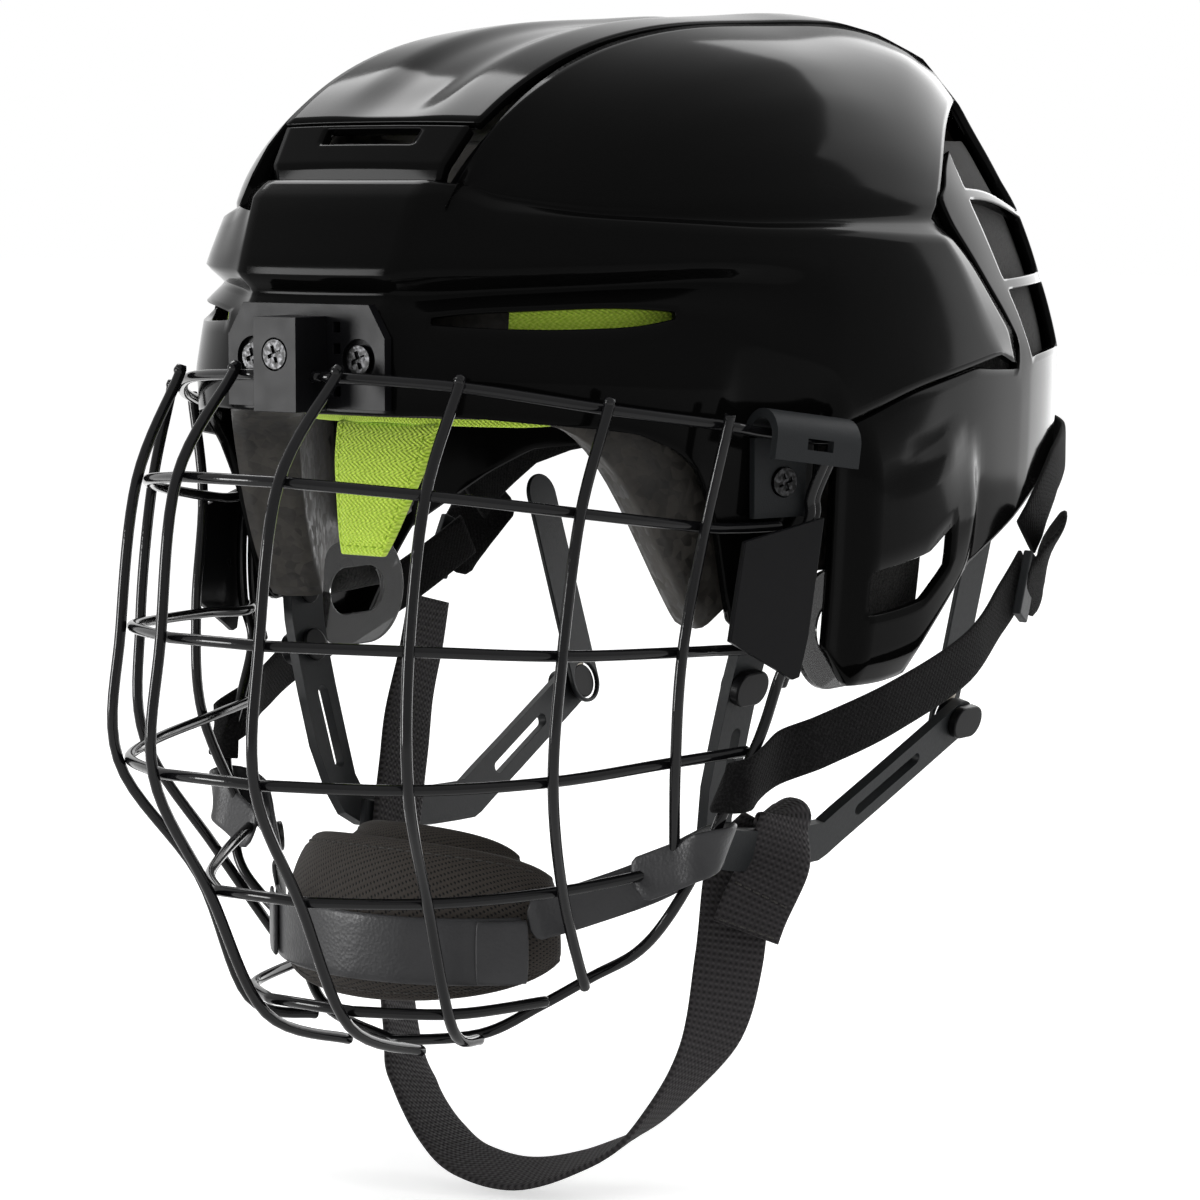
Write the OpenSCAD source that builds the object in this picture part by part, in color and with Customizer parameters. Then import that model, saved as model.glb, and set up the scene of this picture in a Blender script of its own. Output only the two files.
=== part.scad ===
/* [Shell] */
// Width of the shell across its sides
shell_width = 196; // [184:1:216]
// Length from the middle of the shell to its front
shell_front = 140; // [134:1:150]
// Length from the middle of the shell to its back
shell_back = 132; // [124:1:142]
// Height of the crown above the widest level
crown_rise = 99.7; // [94:0.1:108]
// Thickness of the plastic shell
shell_wall = 3; // [2.6:0.1:3.6]
// Gap between the front shell and the rear shell
shell_gap = 0.8; // [0.6:0.1:1]
// Width of the crown spine where it meets the vent insert
spine_front = 58; // [54:1:60]
// Width of the spine at the back of the helmet
spine_rear = 166; // [156:1:170]
// Length of the size adjustment
size_travel = 8; // [4:1:10]

/* [Padding] */
// Thickness of the foam liner at the sides
liner_wall = 14; // [11:0.5:16]
// Thickness of the foam liner at the brow and the back
liner_front = 23; // [19:0.5:25]
// Thickness of the loose comfort pads
pad_wall = 8; // [6:0.5:10]
// Space left around soft pieces
soft_gap = 0.4; // [0.3:0.05:0.6]

/* [Cage] */
// Diameter of the cage wires
wire_d = 2.8; // [2.4:0.1:3.2]
// Width of the cage across its outer uprights
cage_width = 160; // [152:1:166]
// How far the cage bulges in front of its hinge wire
cage_reach = 32; // [26:1:38]
// Height from the hinge wire down to the chin wires
cage_drop = 158; // [148:1:168]

/* [Clips] */
// Width of the centre cage clip
clip_width = 13.5; // [12:0.5:17]
// Height of the centre cage clip
clip_height = 23; // [21:0.5:26]
// Radial play of the hinge wire in the centre clip
hinge_play = 0.08; // [0.04:0.02:0.1]
// Length of the half-round side clip
side_clip_length = 26; // [22:1:30]
// Diameter of the screw heads
screw_head_d = 7.2; // [6:0.2:8]
// Diameter of the screw shanks
screw_d = 3.4; // [3:0.2:4]

/* [Straps] */
// Width of the chin strap webbing
chin_strap_width = 18; // [13:1:19]
// Thickness of the chin strap webbing
chin_strap_wall = 1.8; // [1.4:0.1:2.2]
// Width of the harness straps
harness_width = 13; // [11:1:16]
// Thickness of the harness straps
harness_wall = 1.6; // [1.2:0.1:2]
// Width of the arms of the ear loops
loop_width = 13; // [11:0.5:15]
// Thickness of the ear loops
loop_wall = 3; // [2.4:0.1:3.6]

/* [Chin cup] */
// Radius of the cup's outer face, seen from above
cup_radius = 50; // [46:1:54]
// Height of the cup pad
cup_height = 40; // [36:1:44]
// Thickness of the cup pad
cup_wall = 11; // [9:0.5:13]

/* [Hidden] */
$fn = 48;

// Fixed shape of the shell
power_front = 2;
power_back = 2.43;
power_up = 2.5;
wide_z = -8;
skirt_taper = 0.1;
skirt_depth = 90;
lean = 0.03;
half_width = shell_width / 2;
wire_r = wire_d / 2;
plate_setback = 1.5;
plate_wall = 2.6;
plate_half = 25;

// Helpers
function mix(a, b, t) = a + (b - a) * t;
function unit(v) = v / norm(v);
function mirrored(p) = [-p.x, p.y, p.z];
function side_sign(side) = side == "left" ? 1 : -1;
function flatten(rows) = [for (row = rows) each row];
function steps(count) = [for (i = [0 : count]) i / count];

// A smooth curve through hand-chosen points, each stretch in count parts
function spline_at(p, i, t) =
    let (a = p[max(i - 1, 0)], b = p[i], c = p[i + 1], d = p[min(i + 2, len(p) - 1)])
    0.5 * (2 * b + (c - a) * t + (2 * a - 5 * b + 4 * c - d) * t * t
    + (3 * b - a - 3 * c + d) * t * t * t);
function spline(p, count) =
    [for (i = [0 : len(p) - 2]) for (k = [0 : count - 1]) spline_at(p, i, k / count), p[len(p) - 1]];

// The shell's base surface: a rounded box in plan that closes over the crown.
// Angles run from 0 at the front through 90 at the left side to 180 at the back.
function half_length(y) = y < 0 ? shell_front : shell_back;
function plan_power(y) = y < 0 ? power_front : power_back;
function share_at(z) =
    z > wide_z ? pow(1 - pow(min((z - wide_z) / crown_rise, 0.9999), power_up), 1 / power_up)
               : 1 - skirt_taper * pow((wide_z - z) / skirt_depth, 2);
function plan_radius(angle) =
    let (c = cos(angle), p = plan_power(-c))
    pow(pow(abs(sin(angle)) / half_width, p) + pow(abs(c) / half_length(-c), p), -1 / p);
function skin_normal(x, y, z) =
    let (p = plan_power(y), u = abs(x) / half_width, v = abs(y) / half_length(y),
         up = max(z - wide_z, 0) / crown_rise, s = max(pow(u, p) + pow(v, p), 0.0001),
         k = pow(s, power_up / p - 1))
    unit([sign(x) * k * pow(u, p - 1) / half_width, sign(y) * k * pow(v, p - 1) / half_length(y),
          pow(up, power_up - 1) / crown_rise]);
function leaned(p) = [p.x, p.y, p.z + lean * p.y];
// Towards the back the crown swells out and the sides below it draw in
shoulder = [[0, 0], [20, -3.5], [50, -5.5], [62, -3.5], [76, 3.5], [86, 5], [96, 4.5]];
shoulder_start = 60;
function swelling(y, z) =
    let (t = max(min(y / shoulder_start, 1), 0)) t * t * (3 - 2 * t) * lookup(z, shoulder);
function offset_skin(x, y, z, d) = leaned([x, y, z] + (d + swelling(y, z)) * skin_normal(x, y, z));
function skin(angle, z, d) =
    let (r = plan_radius(angle) * share_at(z))
    offset_skin(r * sin(angle), -r * cos(angle), z, d);
function height_over(x, y) =
    let (p = plan_power(y), g = pow(pow(abs(x) / half_width, p) + pow(abs(y) / half_length(y), p), 1 / p))
    wide_z + crown_rise * pow(max(1 - pow(min(g, 1), power_up), 0), 1 / power_up);
function reach_back(x, z) =
    let (g = share_at(z), p = power_back)
    shell_back * g * pow(max(1 - pow(abs(x) / (half_width * g), p), 0), 1 / p);
// Half the width of the shell at length y and height z
function side_x(y, z) =
    let (g = share_at(z), p = plan_power(y))
    half_width * g * pow(max(1 - pow(abs(y) / (half_length(y) * g), p), 0), 1 / p);

// The crown spine runs along an arc angle from 0 at the front over 90 at the top to 180 at the back.
// Its edges stand up a little where it is flat in front.
front_spread = [[33, 0.96], [44, 1.02], [58, 1.08], [74, 1.12], [90, 1.17]];
rear_spread = [[107, 0.46], [114, 0.57], [118, 0.65], [122, 0.75], [130, 0.8], [140, 0.83], [158, 0.95],
               [180, 1]];
edge_rise = [[33, 5.6], [44, 5.6], [58, 4], [74, 2.2], [90, 1], [107, 0]];
bulge_rise = [[33, 1.2], [50, 1], [74, 0.8], [90, 0.3], [107, -0.5]];
function spine_half(arc) =
    arc < 90 ? spine_front / 2 * lookup(arc, front_spread)
    : arc < 107 ? mix(spine_front * 0.585, spine_rear * 0.23, (arc - 90) / 17)
    : spine_rear / 2 * lookup(arc, rear_spread);
function on_spine(arc, x, d) =
    let (s = pow(1 - pow(abs(x) / half_width, 2.4), 1 / 2.4),
         y = -sign(cos(arc)) * half_length(-cos(arc)) * s * pow(abs(cos(arc)), 2 / power_up),
         z = wide_z + crown_rise * s * pow(abs(sin(arc)), 2 / power_up),
         out = d + lookup(arc, edge_rise) * min(pow(x / spine_half(arc), 2), 1))
    arc < 135 ? offset_skin(x, y, height_over(x, y), out) : offset_skin(x, reach_back(x, z), z, out);

// The flat face of the front shell: the height, half width and set-back from the front of each line
plate_back = plate_setback + plate_wall + 0.1;
face = [[-4.8, plate_half, plate_back], [3, plate_half, plate_back], [12, plate_half, plate_back],
        [19.5, plate_half - 1.5, plate_back], [24.3, 24, 8], [29, 26.7, 5], [47.5, 28, 12.4],
        [51.6, 27.4, 17.6]];

// Heights and outward offsets of the feature lines of the front shell, by plan angle
panel_tip = 105.5;
arrow_tip = 113;
arm_back = 63;
brim_line = [[11, -4.8], [16, -4.7], [24, -7], [31.6, -9], [36.4, -10.7], [39, -12.5], [42.2, -17.5],
             [45.8, -24], [47.5, -43], [50, -64], [63, -64]];
ridge_line = [[11, 3], [19, 4.3], [34, 2], [47, -0.6], [58, -6], [66, -11.7], [81, -4], [panel_tip, 1.5],
              [arrow_tip, -2.2]];
vent_low_line = [[11, 12.5], [13, 17.4], [18, 16.4], [26, 15.4], [36, 15.4], [41, 17.2], [50, 10], [66, 0],
                 [panel_tip, 7]];
vent_high_line = [[11, 19], [13, 18.6], [18, 19.8], [31, 20.3], [39, 19.6], [41, 18.4], [50, 17], [66, 9],
                  [panel_tip, 13]];
slot_line = [[11, 24.3], [20, 25.5], [44, 26.6], [55, 24], [66, 19], [panel_tip, 20]];
bevel_line = [[11, 29], [52, 28.8], [66, 27], [panel_tip, 26.5]];
ledge_line = [[12, 46.5], [18, 42.8], [31, 40.7], [52, 37.1], [panel_tip, 32]];
shelf_line = [[11.4, 49.3], [14, 49], [18.4, 47.2], [31, 42.8], [53.6, 39.7], [panel_tip, 38.5]];
brim_out = [[11, 0.5], [40, 0], [44, -1], [48, -4], [63, -4]];
ridge_out = [[11, 1], [46, 1], [50, -2.5], [63, -2.5], [66, 0.5], [81, 2], [panel_tip, 2.2], [arrow_tip, 0]];
vent_out = [[11, 0], [40, 0], [60, 1], [panel_tip, 2.4], [arrow_tip, 0]];
slot_out = [[11, -2], [14, -4], [42, -4], [56, 0], [66, 2], [panel_tip, 2.4], [arrow_tip, 0]];
bevel_out = [[11, 3.5], [16, 2.2], [panel_tip, 2.4], [arrow_tip, 0]];
ledge_out = [[12, 4], [18, 1.8], [panel_tip, 2.2], [arrow_tip, 0]];
shelf_out = [[11.4, 3], [14, 1.8], [18, -0.6], [52, -1.2], [arrow_tip, -2]];
// Plan angle of the seam to the rear shell at each feature line, and how far the panel's edge is from it
seam_line = [[1, arrow_tip], [5, 114.3], [41.6, 94], [46, 99.5], [52, 104], [61, 117]];
panel_margin = [[1, 7.5], [8, 11], [42, 4]];

column_angles = [11.4, 14, 18, 22, 26.5, 31, 36, 40.5, 43.5, 46.5, 49.5, 53, 58, arm_back, 66, 73, 81, 89,
                 97, panel_tip, arrow_tip];
face_shares = [0, 0.5, 0.92];
face_columns = len(face_shares);
arm_column = face_columns + 13;
last_column = face_columns + len(column_angles) - 1;
groove_start = 34.5;
groove_end = 121;
bulge_rows = 6;

// Plan angle of an outer column at a feature line whose seam is at the given height
fan_key = 26.5;
function column_angle(key, seam_z) =
    let (seam = lookup(seam_z, seam_line), panel = seam - lookup(seam_z, panel_margin),
         first = column_angles[0] + lookup(seam_z, [[21, 0], [28, 0.8], [36, 1.8], [41.6, 2.2]]))
    key <= fan_key ? mix(first, fan_key, (key - column_angles[0]) / (fan_key - column_angles[0]))
    : key <= arm_back ? key
    : key <= panel_tip ? mix(arm_back, panel, (key - arm_back) / (panel_tip - arm_back)) : seam;
function face_point(k, share, extra) =
    let (f = face[k])
    leaned([f.y * share, -shell_front + f.z - (k > 3 ? 1.2 : 0) * (1 - share * share) - extra, f.x]);
function feature_row(k, heights, outs, seam_z, extra) = concat(
    [for (f = face_shares) face_point(k, f, extra)],
    [for (key = column_angles)
        skin(column_angle(key, seam_z), lookup(key, heights), lookup(key, outs) + extra)]);
function arm_row(share, extra) = concat(
    [for (f = face_shares) mix(face_point(0, f, extra), face_point(1, f, extra), share)],
    [for (key = column_angles)
        let (z = mix(lookup(key, brim_line), lookup(key, ridge_line), share))
        skin(column_angle(key, 1), z, mix(lookup(key, brim_out), lookup(key, ridge_out), share * share) + extra)]);
function groove_arc(i) = mix(groove_start, groove_end, i / (len(column_angles) - 1));
// The bulge above the shelf, from the shelf at 0 to the spine groove at 1
function bulge_row(share, extra) = concat(
    [for (f = face_shares) face_point(7, f, extra)],
    [for (i = [0 : len(column_angles) - 1])
        let (key = column_angles[i], a = column_angle(key, 41.6),
             r = plan_radius(a) * share_at(lookup(key, shelf_line)), arc = groove_arc(i),
             top = on_spine(arc, spine_half(arc) + shell_gap, 0), f = 1 - cos(90 * share),
             x = mix(r * sin(a), top.x, f), y = mix(-r * cos(a), top.y, f),
             out = mix(lookup(key, shelf_out), lookup(arc, bulge_rise), share)
                   + max(lookup(arc, edge_rise) - lookup(arc, bulge_rise) - 0.5, 0) * pow(share, 5)
                   + lookup(key, [[12, 0], [36, 2.4]]) * sin(180 * share))
        offset_skin(x, y, height_over(x, y), out + extra)]);
function front_rows(extra) = [
    for (t = [0, 0.3, 0.6, 0.85]) arm_row(t, extra),
    feature_row(1, ridge_line, ridge_out, 1, extra),
    feature_row(2, vent_low_line, vent_out, 8, extra),
    feature_row(3, vent_high_line, vent_out, 14, extra),
    feature_row(4, slot_line, slot_out, 21, extra),
    feature_row(5, bevel_line, bevel_out, 28, extra),
    feature_row(6, ledge_line, ledge_out, 36, extra),
    feature_row(7, shelf_line, shelf_out, 41.6, extra),
    for (t = [1 : bulge_rows]) bulge_row(t / bulge_rows, extra)];
ridge_row = 4;
shelf_row = 10;
function mirror_row(row) = [for (k = [len(row) - 1 : -1 : 1]) mirrored(row[k]), each row];
function front_on(r, i) =
    !(r < ridge_row && i >= arm_column) && !(r >= shelf_row && i < face_columns)
    && !(r == 5 && i >= face_columns + 1 && i <= face_columns + 6);

// A closed solid between an outer and an inner grid of points, with the cells that are not on left open
module grid_solid(outer, inner, on) {
    rows = len(outer);
    cols = len(outer[0]);
    total = rows * cols;
    live = function (r, c) r >= 0 && c >= 0 && r < rows - 1 && c < cols - 1 && on(r, c);
    quads = [
        for (r = [0 : rows - 2]) for (c = [0 : cols - 2]) if (live(r, c))
            let (a = r * cols + c, b = a + 1, d = b + cols, e = a + cols) each [
                [a, e, d, b],
                [a + total, b + total, d + total, e + total],
                if (!live(r - 1, c)) [a, b, b + total, a + total],
                if (!live(r + 1, c)) [d, e, e + total, d + total],
                if (!live(r, c - 1)) [e, a, a + total, e + total],
                if (!live(r, c + 1)) [b, d, d + total, b + total]]];
    polyhedron(concat(flatten(outer), flatten(inner)),
               [for (q = quads) each [[q[0], q[1], q[2]], [q[0], q[2], q[3]]]]);
}
module mirrored_grid(outer, inner, on) {
    half = len(outer[0]) - 1;
    grid_solid([for (row = outer) mirror_row(row)], [for (row = inner) mirror_row(row)],
               function (r, c) c < half ? on(r, half - 1 - c) : on(r, c - half));
}

// A solid swept along a path: ring i has its profile in the directions us[i] and vs[i]
module swept(path, us, vs, profile) {
    n = len(profile);
    last = len(path) - 1;
    points = [for (i = [0 : last]) for (q = profile) path[i] + q.x * us[i] + q.y * vs[i]];
    sides = [for (i = [0 : last - 1]) for (k = [0 : n - 1])
        let (a = i * n + k, b = i * n + (k + 1) % n) each [[a, a + n, b + n], [a, b + n, b]]];
    polyhedron(points, concat(sides, [[for (k = [0 : n - 1]) k]], [[for (k = [n - 1 : -1 : 0]) last * n + k]]));
}
function tangent(path, i) = unit(path[min(i + 1, len(path) - 1)] - path[max(i - 1, 0)]);
function across(path, ref) = [for (i = [0 : len(path) - 1]) unit(cross(tangent(path, i), ref))];
function beside(path, us) = [for (i = [0 : len(path) - 1]) unit(cross(tangent(path, i), us[i]))];
function ring(r, sides) = [for (k = [0 : sides - 1]) r * [cos(360 * k / sides), sin(360 * k / sides)]];
module wire(path, ref) {
    us = across(path, ref);
    swept(path, us, beside(path, us), ring(wire_r, 8));
}
// A flat strap whose width lies along the given directions
module ribbon(path, width, wall, widths) {
    us = [for (i = [0 : len(path) - 1])
        let (t = tangent(path, i), w = widths[i]) unit(w - t * (w * t))];
    swept(path, us, beside(path, us),
          [[-width / 2, -wall / 2], [width / 2, -wall / 2], [width / 2, wall / 2], [-width / 2, wall / 2]]);
}

module front_shell() {
    color("#0b0b0c") difference() {
        mirrored_grid(front_rows(0), front_rows(-shell_wall), function (r, i) front_on(r, i));
        brow_screw_axes() cylinder(d = screw_d + 0.4, h = 40, center = true);
        clip_screw_axis() cylinder(d = screw_d + 0.4, h = 40, center = true);
        for (side = ["left", "right"]) {
            at_side_clip(side) side_screw_axis() cylinder(d = screw_d + 0.4, h = 24, center = true);
            in_loop_plane(side) translate([loop_peg.x, loop_peg.y, 0])
                cylinder(r = peg_r + 0.2, h = 24, center = true);
        }
    }
}

// The vent insert below the spine
insert_low = [27.4, -shell_front + 21.7, 51.7];
insert_high = [29.2, -shell_front + 29.2, 61.1];
insert_slot = [0.52, 0.92];
insert_rows = [0, 0.25, insert_slot[0], insert_slot[1], 1];
insert_shares = [-1, -0.75, -0.52, -0.45, 0, 0.45, 0.52, 0.75, 1];
spine_start = 43;
insert_normal = unit(cross([1, 0, 0], insert_high - insert_low - [insert_high.x - insert_low.x, 0, 0]));
function insert_point(f, t, d) =
    let (p = mix(insert_low, insert_high, t))
    [p.x * f, p.y, p.z] + (d + 0.6 * (1 - f * f)) * insert_normal;
insert_lip = [26, -shell_front + 21.1, 45.5];
function insert_grid(d) = [
    [for (f = insert_shares) [insert_lip.x * f, insert_lip.y, insert_lip.z] + [0, -d, 0]],
    for (t = insert_rows) [for (f = insert_shares) insert_point(f, t, d)]];
module vent_insert() {
    color("#101012") grid_solid(insert_grid(0), insert_grid(-shell_wall),
                                function (r, c) !(r == 3 && c >= 2 && c <= 5));
}

// The rear shell: ear parts, back, two vent channels with ribs, and the spine
ear_line = [[63, -65], [66.5, -71], [70, -79.5], [83, -80.5], [91, -67], [99.6, -53], [112, -45], [126, -34],
            [180, -33]];
ear_angles = [65, 67.5, 70.5, 78, 84, 90, 96, 100, 106, arrow_tip + 0.6];
channel_line = [[-5.6, 120], [13, 116], [25, 112], [42, 108.5], [57, 110]];
spine_shares = [0.75, 0.5, 0.25, 0];
ear_rows = 6;
wall_heights = [4, 12, 18, 20.8, 28, 36, 43, 46, 51, 56];
sag_start = 30;
rib_rows = [3, 7];
spine_arcs = [for (k = [1 : 17]) mix(146, spine_start + 0.4, k / 17)];
seam_column = len(ear_angles) - 1;
channel_column = seam_column + 4;
edge_column = channel_column + 2;
middle_column = edge_column + len(spine_shares);
ear_shares = [0, 0.1, 0.27, 0.43, 0.72, 0.8, 1];
window = [2, 2, 2, 4];
boss_line = [[64, -14], [78, -20], [89, -18], [94, -20], [104, -34], [108, -46]];
function ear_bump(angle, z, low) =
    let (across = min((angle - 67.5) / 3, (100 - angle) / 4),
         up = min((z - low) / 8, (lookup(angle, boss_line) - z) / 4))
    4.5 * max(min(across, up, 1), 0);
// The upper edge stays under the front shell's ridge over the whole travel of the slide
slide_turn = atan2(size_travel, half_width);
function rear_height(share, angle) =
    let (low = lookup(angle, ear_line),
         ridge = min([for (turn = [0, slide_turn]) lookup(min(angle + turn, arrow_tip), ridge_line)]),
         high = lookup(angle, [[arrow_tip, ridge - shell_gap - 0.5],
                               [arrow_tip + 1, -3.4], [channel_line[0].y, -0.3]]))
    mix(low, high, share);
function edge_arc(z) = 180 - asin(pow(max(z - wide_z, 0) / crown_rise, power_up / 2));
function edge_angle(z) =
    let (x = spine_half(edge_arc(z))) atan2(x, -reach_back(x, z));
// Plan angle of a column at height z, from the seam at the given angle back to the spine's edge
function rear_angle(z, c, seam) =
    let (channel = lookup(z, channel_line))
    c <= channel_column ? mix(seam, channel, (max(c, seam_column) - seam_column) / 4)
                        : mix(channel, edge_angle(z), (c - channel_column) / 2);
function rear_low_point(share, c, d) =
    c > edge_column
    ? let (x = spine_shares[c - edge_column - 1] * spine_half(180), z = rear_height(share, 180))
      offset_skin(x, reach_back(x, z), z, d)
    : let (angle = c < seam_column ? ear_angles[c] : rear_angle(-0.3, c, ear_angles[seam_column]),
           z = rear_height(share, angle))
      skin(angle, z, d + ear_bump(angle, z, lookup(angle, ear_line)));
// Towards the spine the wall's rows sag at the sides, as the first row of the spine does
function sagging(z, x) =
    let (crest = wide_z + crown_rise * pow(sin(spine_arcs[0]), 2 / power_up),
         s = pow(1 - pow(abs(x) / half_width, 2.4), 1 / 2.4))
    wide_z + (z - wide_z) * mix(1, s, max(z - sag_start, 0) / (crest - sag_start));
function rear_wall_point(z, c, d) =
    c >= edge_column
    ? let (share = c == edge_column ? 1 : spine_shares[c - edge_column - 1],
           x = share * spine_half(edge_arc(z)),
           low = sagging(z, x))
      offset_skin(x, reach_back(x, low), low, d)
    : skin(rear_angle(z, c, lookup(z, seam_line) + 0.6), z, d);
function scoop(f, arc) = arc > 48 && arc < 130 && abs(f) < 0.4 ? -2 : 0;
function rear_top_point(arc, c, d) =
    let (f = c <= edge_column ? 1 : spine_shares[c - edge_column - 1])
    on_spine(arc, f * spine_half(arc), d + scoop(f, arc));
function rear_rows(d) = [
    for (t = ear_shares) [for (c = [0 : middle_column]) rear_low_point(t, c, d)],
    for (z = wall_heights) [for (c = [0 : middle_column]) rear_wall_point(z, c, d)],
    for (arc = spine_arcs) [for (c = [0 : middle_column]) rear_top_point(arc, c, d)]];
function rear_on(r, c) =
    let (wall_row = r - ear_rows, in_channel = c >= channel_column && c < edge_column)
    r < ear_rows ? !(r >= window[0] && r <= window[1] && c >= window[2] && c <= window[3])
    : wall_row < len(wall_heights) ? c >= seam_column && !(in_channel && len(search(wall_row, rib_rows)) == 0)
    : c >= edge_column;
function back_mirror(row) = [each row, for (k = [len(row) - 2 : -1 : 0]) mirrored(row[k])];
module rear_shell() {
    color("#0b0b0c") grid_solid([for (row = rear_rows(0)) back_mirror(row)],
        [for (row = rear_rows(-shell_wall)) back_mirror(row)],
        function (r, c) c < middle_column ? rear_on(r, c) : rear_on(r, 2 * middle_column - 1 - c));
}

// Liners
liner_out = -shell_wall - soft_gap;
liner_bottom = [[0, -6], [25, -7], [33, -12], [38, -30], [43, -50], [47, -62], [51, -57], [56, -50], [80, -50],
                [88, -46]];
liner_columns = [0, 6, 12, 18, 25, 32, 38, 43, 47, 51, 56, 67, 78, 88];
function liner_depth(angle) = lookup(angle, [[0, liner_front - 5], [13, liner_front - 5], [20, liner_front - 2],
                                             [46, liner_wall + 1], [54, liner_wall - 4], [64, liner_wall - 4], [72, liner_wall]]);
function liner_slack(angle) = lookup(angle, [[0, 8.5], [13, 8.5], [20, 4.4], [44, 4.4], [50, 7.2],
                                             [64, 7.2], [72, 3], [88, 3]]);
function liner_low(angle, share, inward) =
    skin(angle, mix(lookup(angle, liner_bottom), 38, share),
         liner_out - liner_slack(angle) - inward * liner_depth(angle));
function liner_high(k, share, inward) =
    let (a = liner_columns[k], n = len(liner_columns) - 1,
         r = plan_radius(a) * share_at(38), arc = mix(groove_start + 2, groove_end - 12, max(k - 2, 0) / (n - 2)),
         top = on_spine(arc, spine_half(arc) + 1, 0), f = 1 - cos(90 * share),
         x = mix(r * sin(a), top.x, f), y = mix(-r * cos(a), top.y, f))
    offset_skin(x, y, height_over(x, y),
                liner_out - liner_slack(a) - inward * mix(liner_depth(a), liner_wall, share));
function liner_rows(inward) = [
    for (t = steps(4)) [for (a = liner_columns) liner_low(a, t, inward)],
    for (t = [0.3, 0.55, 0.8, 1]) [for (k = [0 : len(liner_columns) - 1]) liner_high(k, t, inward)]];
module front_liner() {
    color("#3a3733") mirrored_grid(liner_rows(0), liner_rows(1), function (r, c) !(r >= 4 && c < 2));
}
rear_slack = 2.4;
rear_liner_arcs = [for (k = [0 : 14]) mix(178, 56, k / 14)];
liner_shares = [0.93, 0.6, 0.3, 0, -0.3, -0.6, -0.93];
function rear_liner_grid(inward) =
    let (low = liner_out - rear_slack - inward * liner_front)
    [for (z = [-26, -17])
         [for (f = liner_shares) let (x = f * spine_half(180)) offset_skin(x, reach_back(x, z), z, low)],
     for (arc = rear_liner_arcs)
         let (depth = lookup(arc, [[100, liner_wall], [150, liner_front]]))
         [for (f = liner_shares) on_spine(arc, f * spine_half(arc), liner_out - rear_slack - inward * depth)]];
module rear_liner() {
    color("#2b2a29") grid_solid(rear_liner_grid(0), rear_liner_grid(1), function (r, c) true);
}

// Padded pieces: a grid whose thickness swells from the rim to the middle
function swell(u, v) = pow(max(1 - pow(abs(u), 4), 0) * max(1 - pow(abs(v), 4), 0), 0.5);
pad_steps = [-1, -0.92, -0.75, -0.5, -0.25, 0, 0.25, 0.5, 0.75, 0.92, 1];
module skin_pad(angle_mid, angle_half, z_mid, z_half, depth, wall) {
    function at(u, v, d) = skin(angle_mid + angle_half * u, z_mid + z_half * v, d);
    grid_solid([for (v = pad_steps) [for (u = pad_steps) at(u, v, -depth)]],
               [for (v = pad_steps) [for (u = pad_steps) at(u, v, -depth - 1 - (wall - 1) * swell(u, v))]],
               function (r, c) true);
}
module spine_pad(arc_from, arc_to, width, depth, wall) {
    function at(u, v, d) = on_spine(mix(arc_from, arc_to, (v + 1) / 2), -width / 2 * u, d);
    grid_solid([for (v = pad_steps) [for (u = pad_steps) at(u, v, -depth)]],
               [for (v = pad_steps) [for (u = pad_steps) at(u, v, -depth - 1 - (wall - 1) * swell(u, v))]],
               function (r, c) true);
}
// Depth of a pad's outer face below the shell's surface, on a liner of the given thickness and slack
function pad_depth(wall, slack) = -liner_out + slack + wall + soft_gap + 0.8;
module temple_pad(side) {
    color("#262524") scale_side(side) skin_pad(74, 12, -22, 22, pad_depth(liner_wall, 2.9), pad_wall);
}
module crown_pad() {
    color("#262524") spine_pad(99, 62, 44, pad_depth(liner_wall, rear_slack), pad_wall);
}
module nape_pad() {
    color("#262524") skin_pad(180, 20, -4, 16, pad_depth(liner_front, rear_slack), pad_wall);
}
module scale_side(side) {
    if (side == "left") children();
    else mirror([1, 0, 0]) children();
}

// The lime forehead pad with its hanging tongue
brow_half = 46;
function brow_low(angle) = lookup(abs(angle), [[0, -9.2], [26, -10.5], [brow_half, -8.5]]);
function brow_depth(angle) = -liner_out + liner_slack(abs(angle)) + liner_depth(abs(angle)) + soft_gap + 0.3;
brow_wall = pad_wall * 0.7;
module brow_pad() {
    angles = [for (k = [-10 : 10]) brow_half * k / 10];
    heights = [-1, -0.8, -0.4, 0.1, 0.7, 1];
    function at(a, v, d) = skin(a, mix(brow_low(a), 26, (v + 1) / 2), -brow_depth(a) - d);
    color("#b6e04a") {
        grid_solid([for (v = heights) [for (a = angles) at(a, v, 0)]],
                   [for (v = heights) [for (a = angles)
                       at(a, v, 1 + (brow_wall - 1) * swell(a / brow_half, v))]],
                   function (r, c) true);
        tongue();
    }
}
tongue_top = -12.4;
tongue_drop = 33;
tongue_lean = 10;
module tongue() {
    y = -shell_front + brow_depth(0) + brow_wall / 2;
    widths = [[0, 16], [0.3, 14.5], [0.85, 8.5], [1, 6.5]];
    rows = [1, 0.93, 0.8, 0.55, 0.3, 0.08, 0];
    shares = [-1, -0.8, -0.4, 0, 0.4, 0.8, 1];
    function at(t, u, side) =
        [u * lookup(t, widths), y - tongue_lean * t + side * (1 + 1.8 * swell(u, 2 * t - 1)),
         tongue_top - tongue_drop * t];
    grid_solid([for (t = rows) [for (u = shares) at(t, u, -1)]],
               [for (t = rows) [for (u = shares) at(t, u, 1)]],
               function (r, c) true);
}

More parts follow.
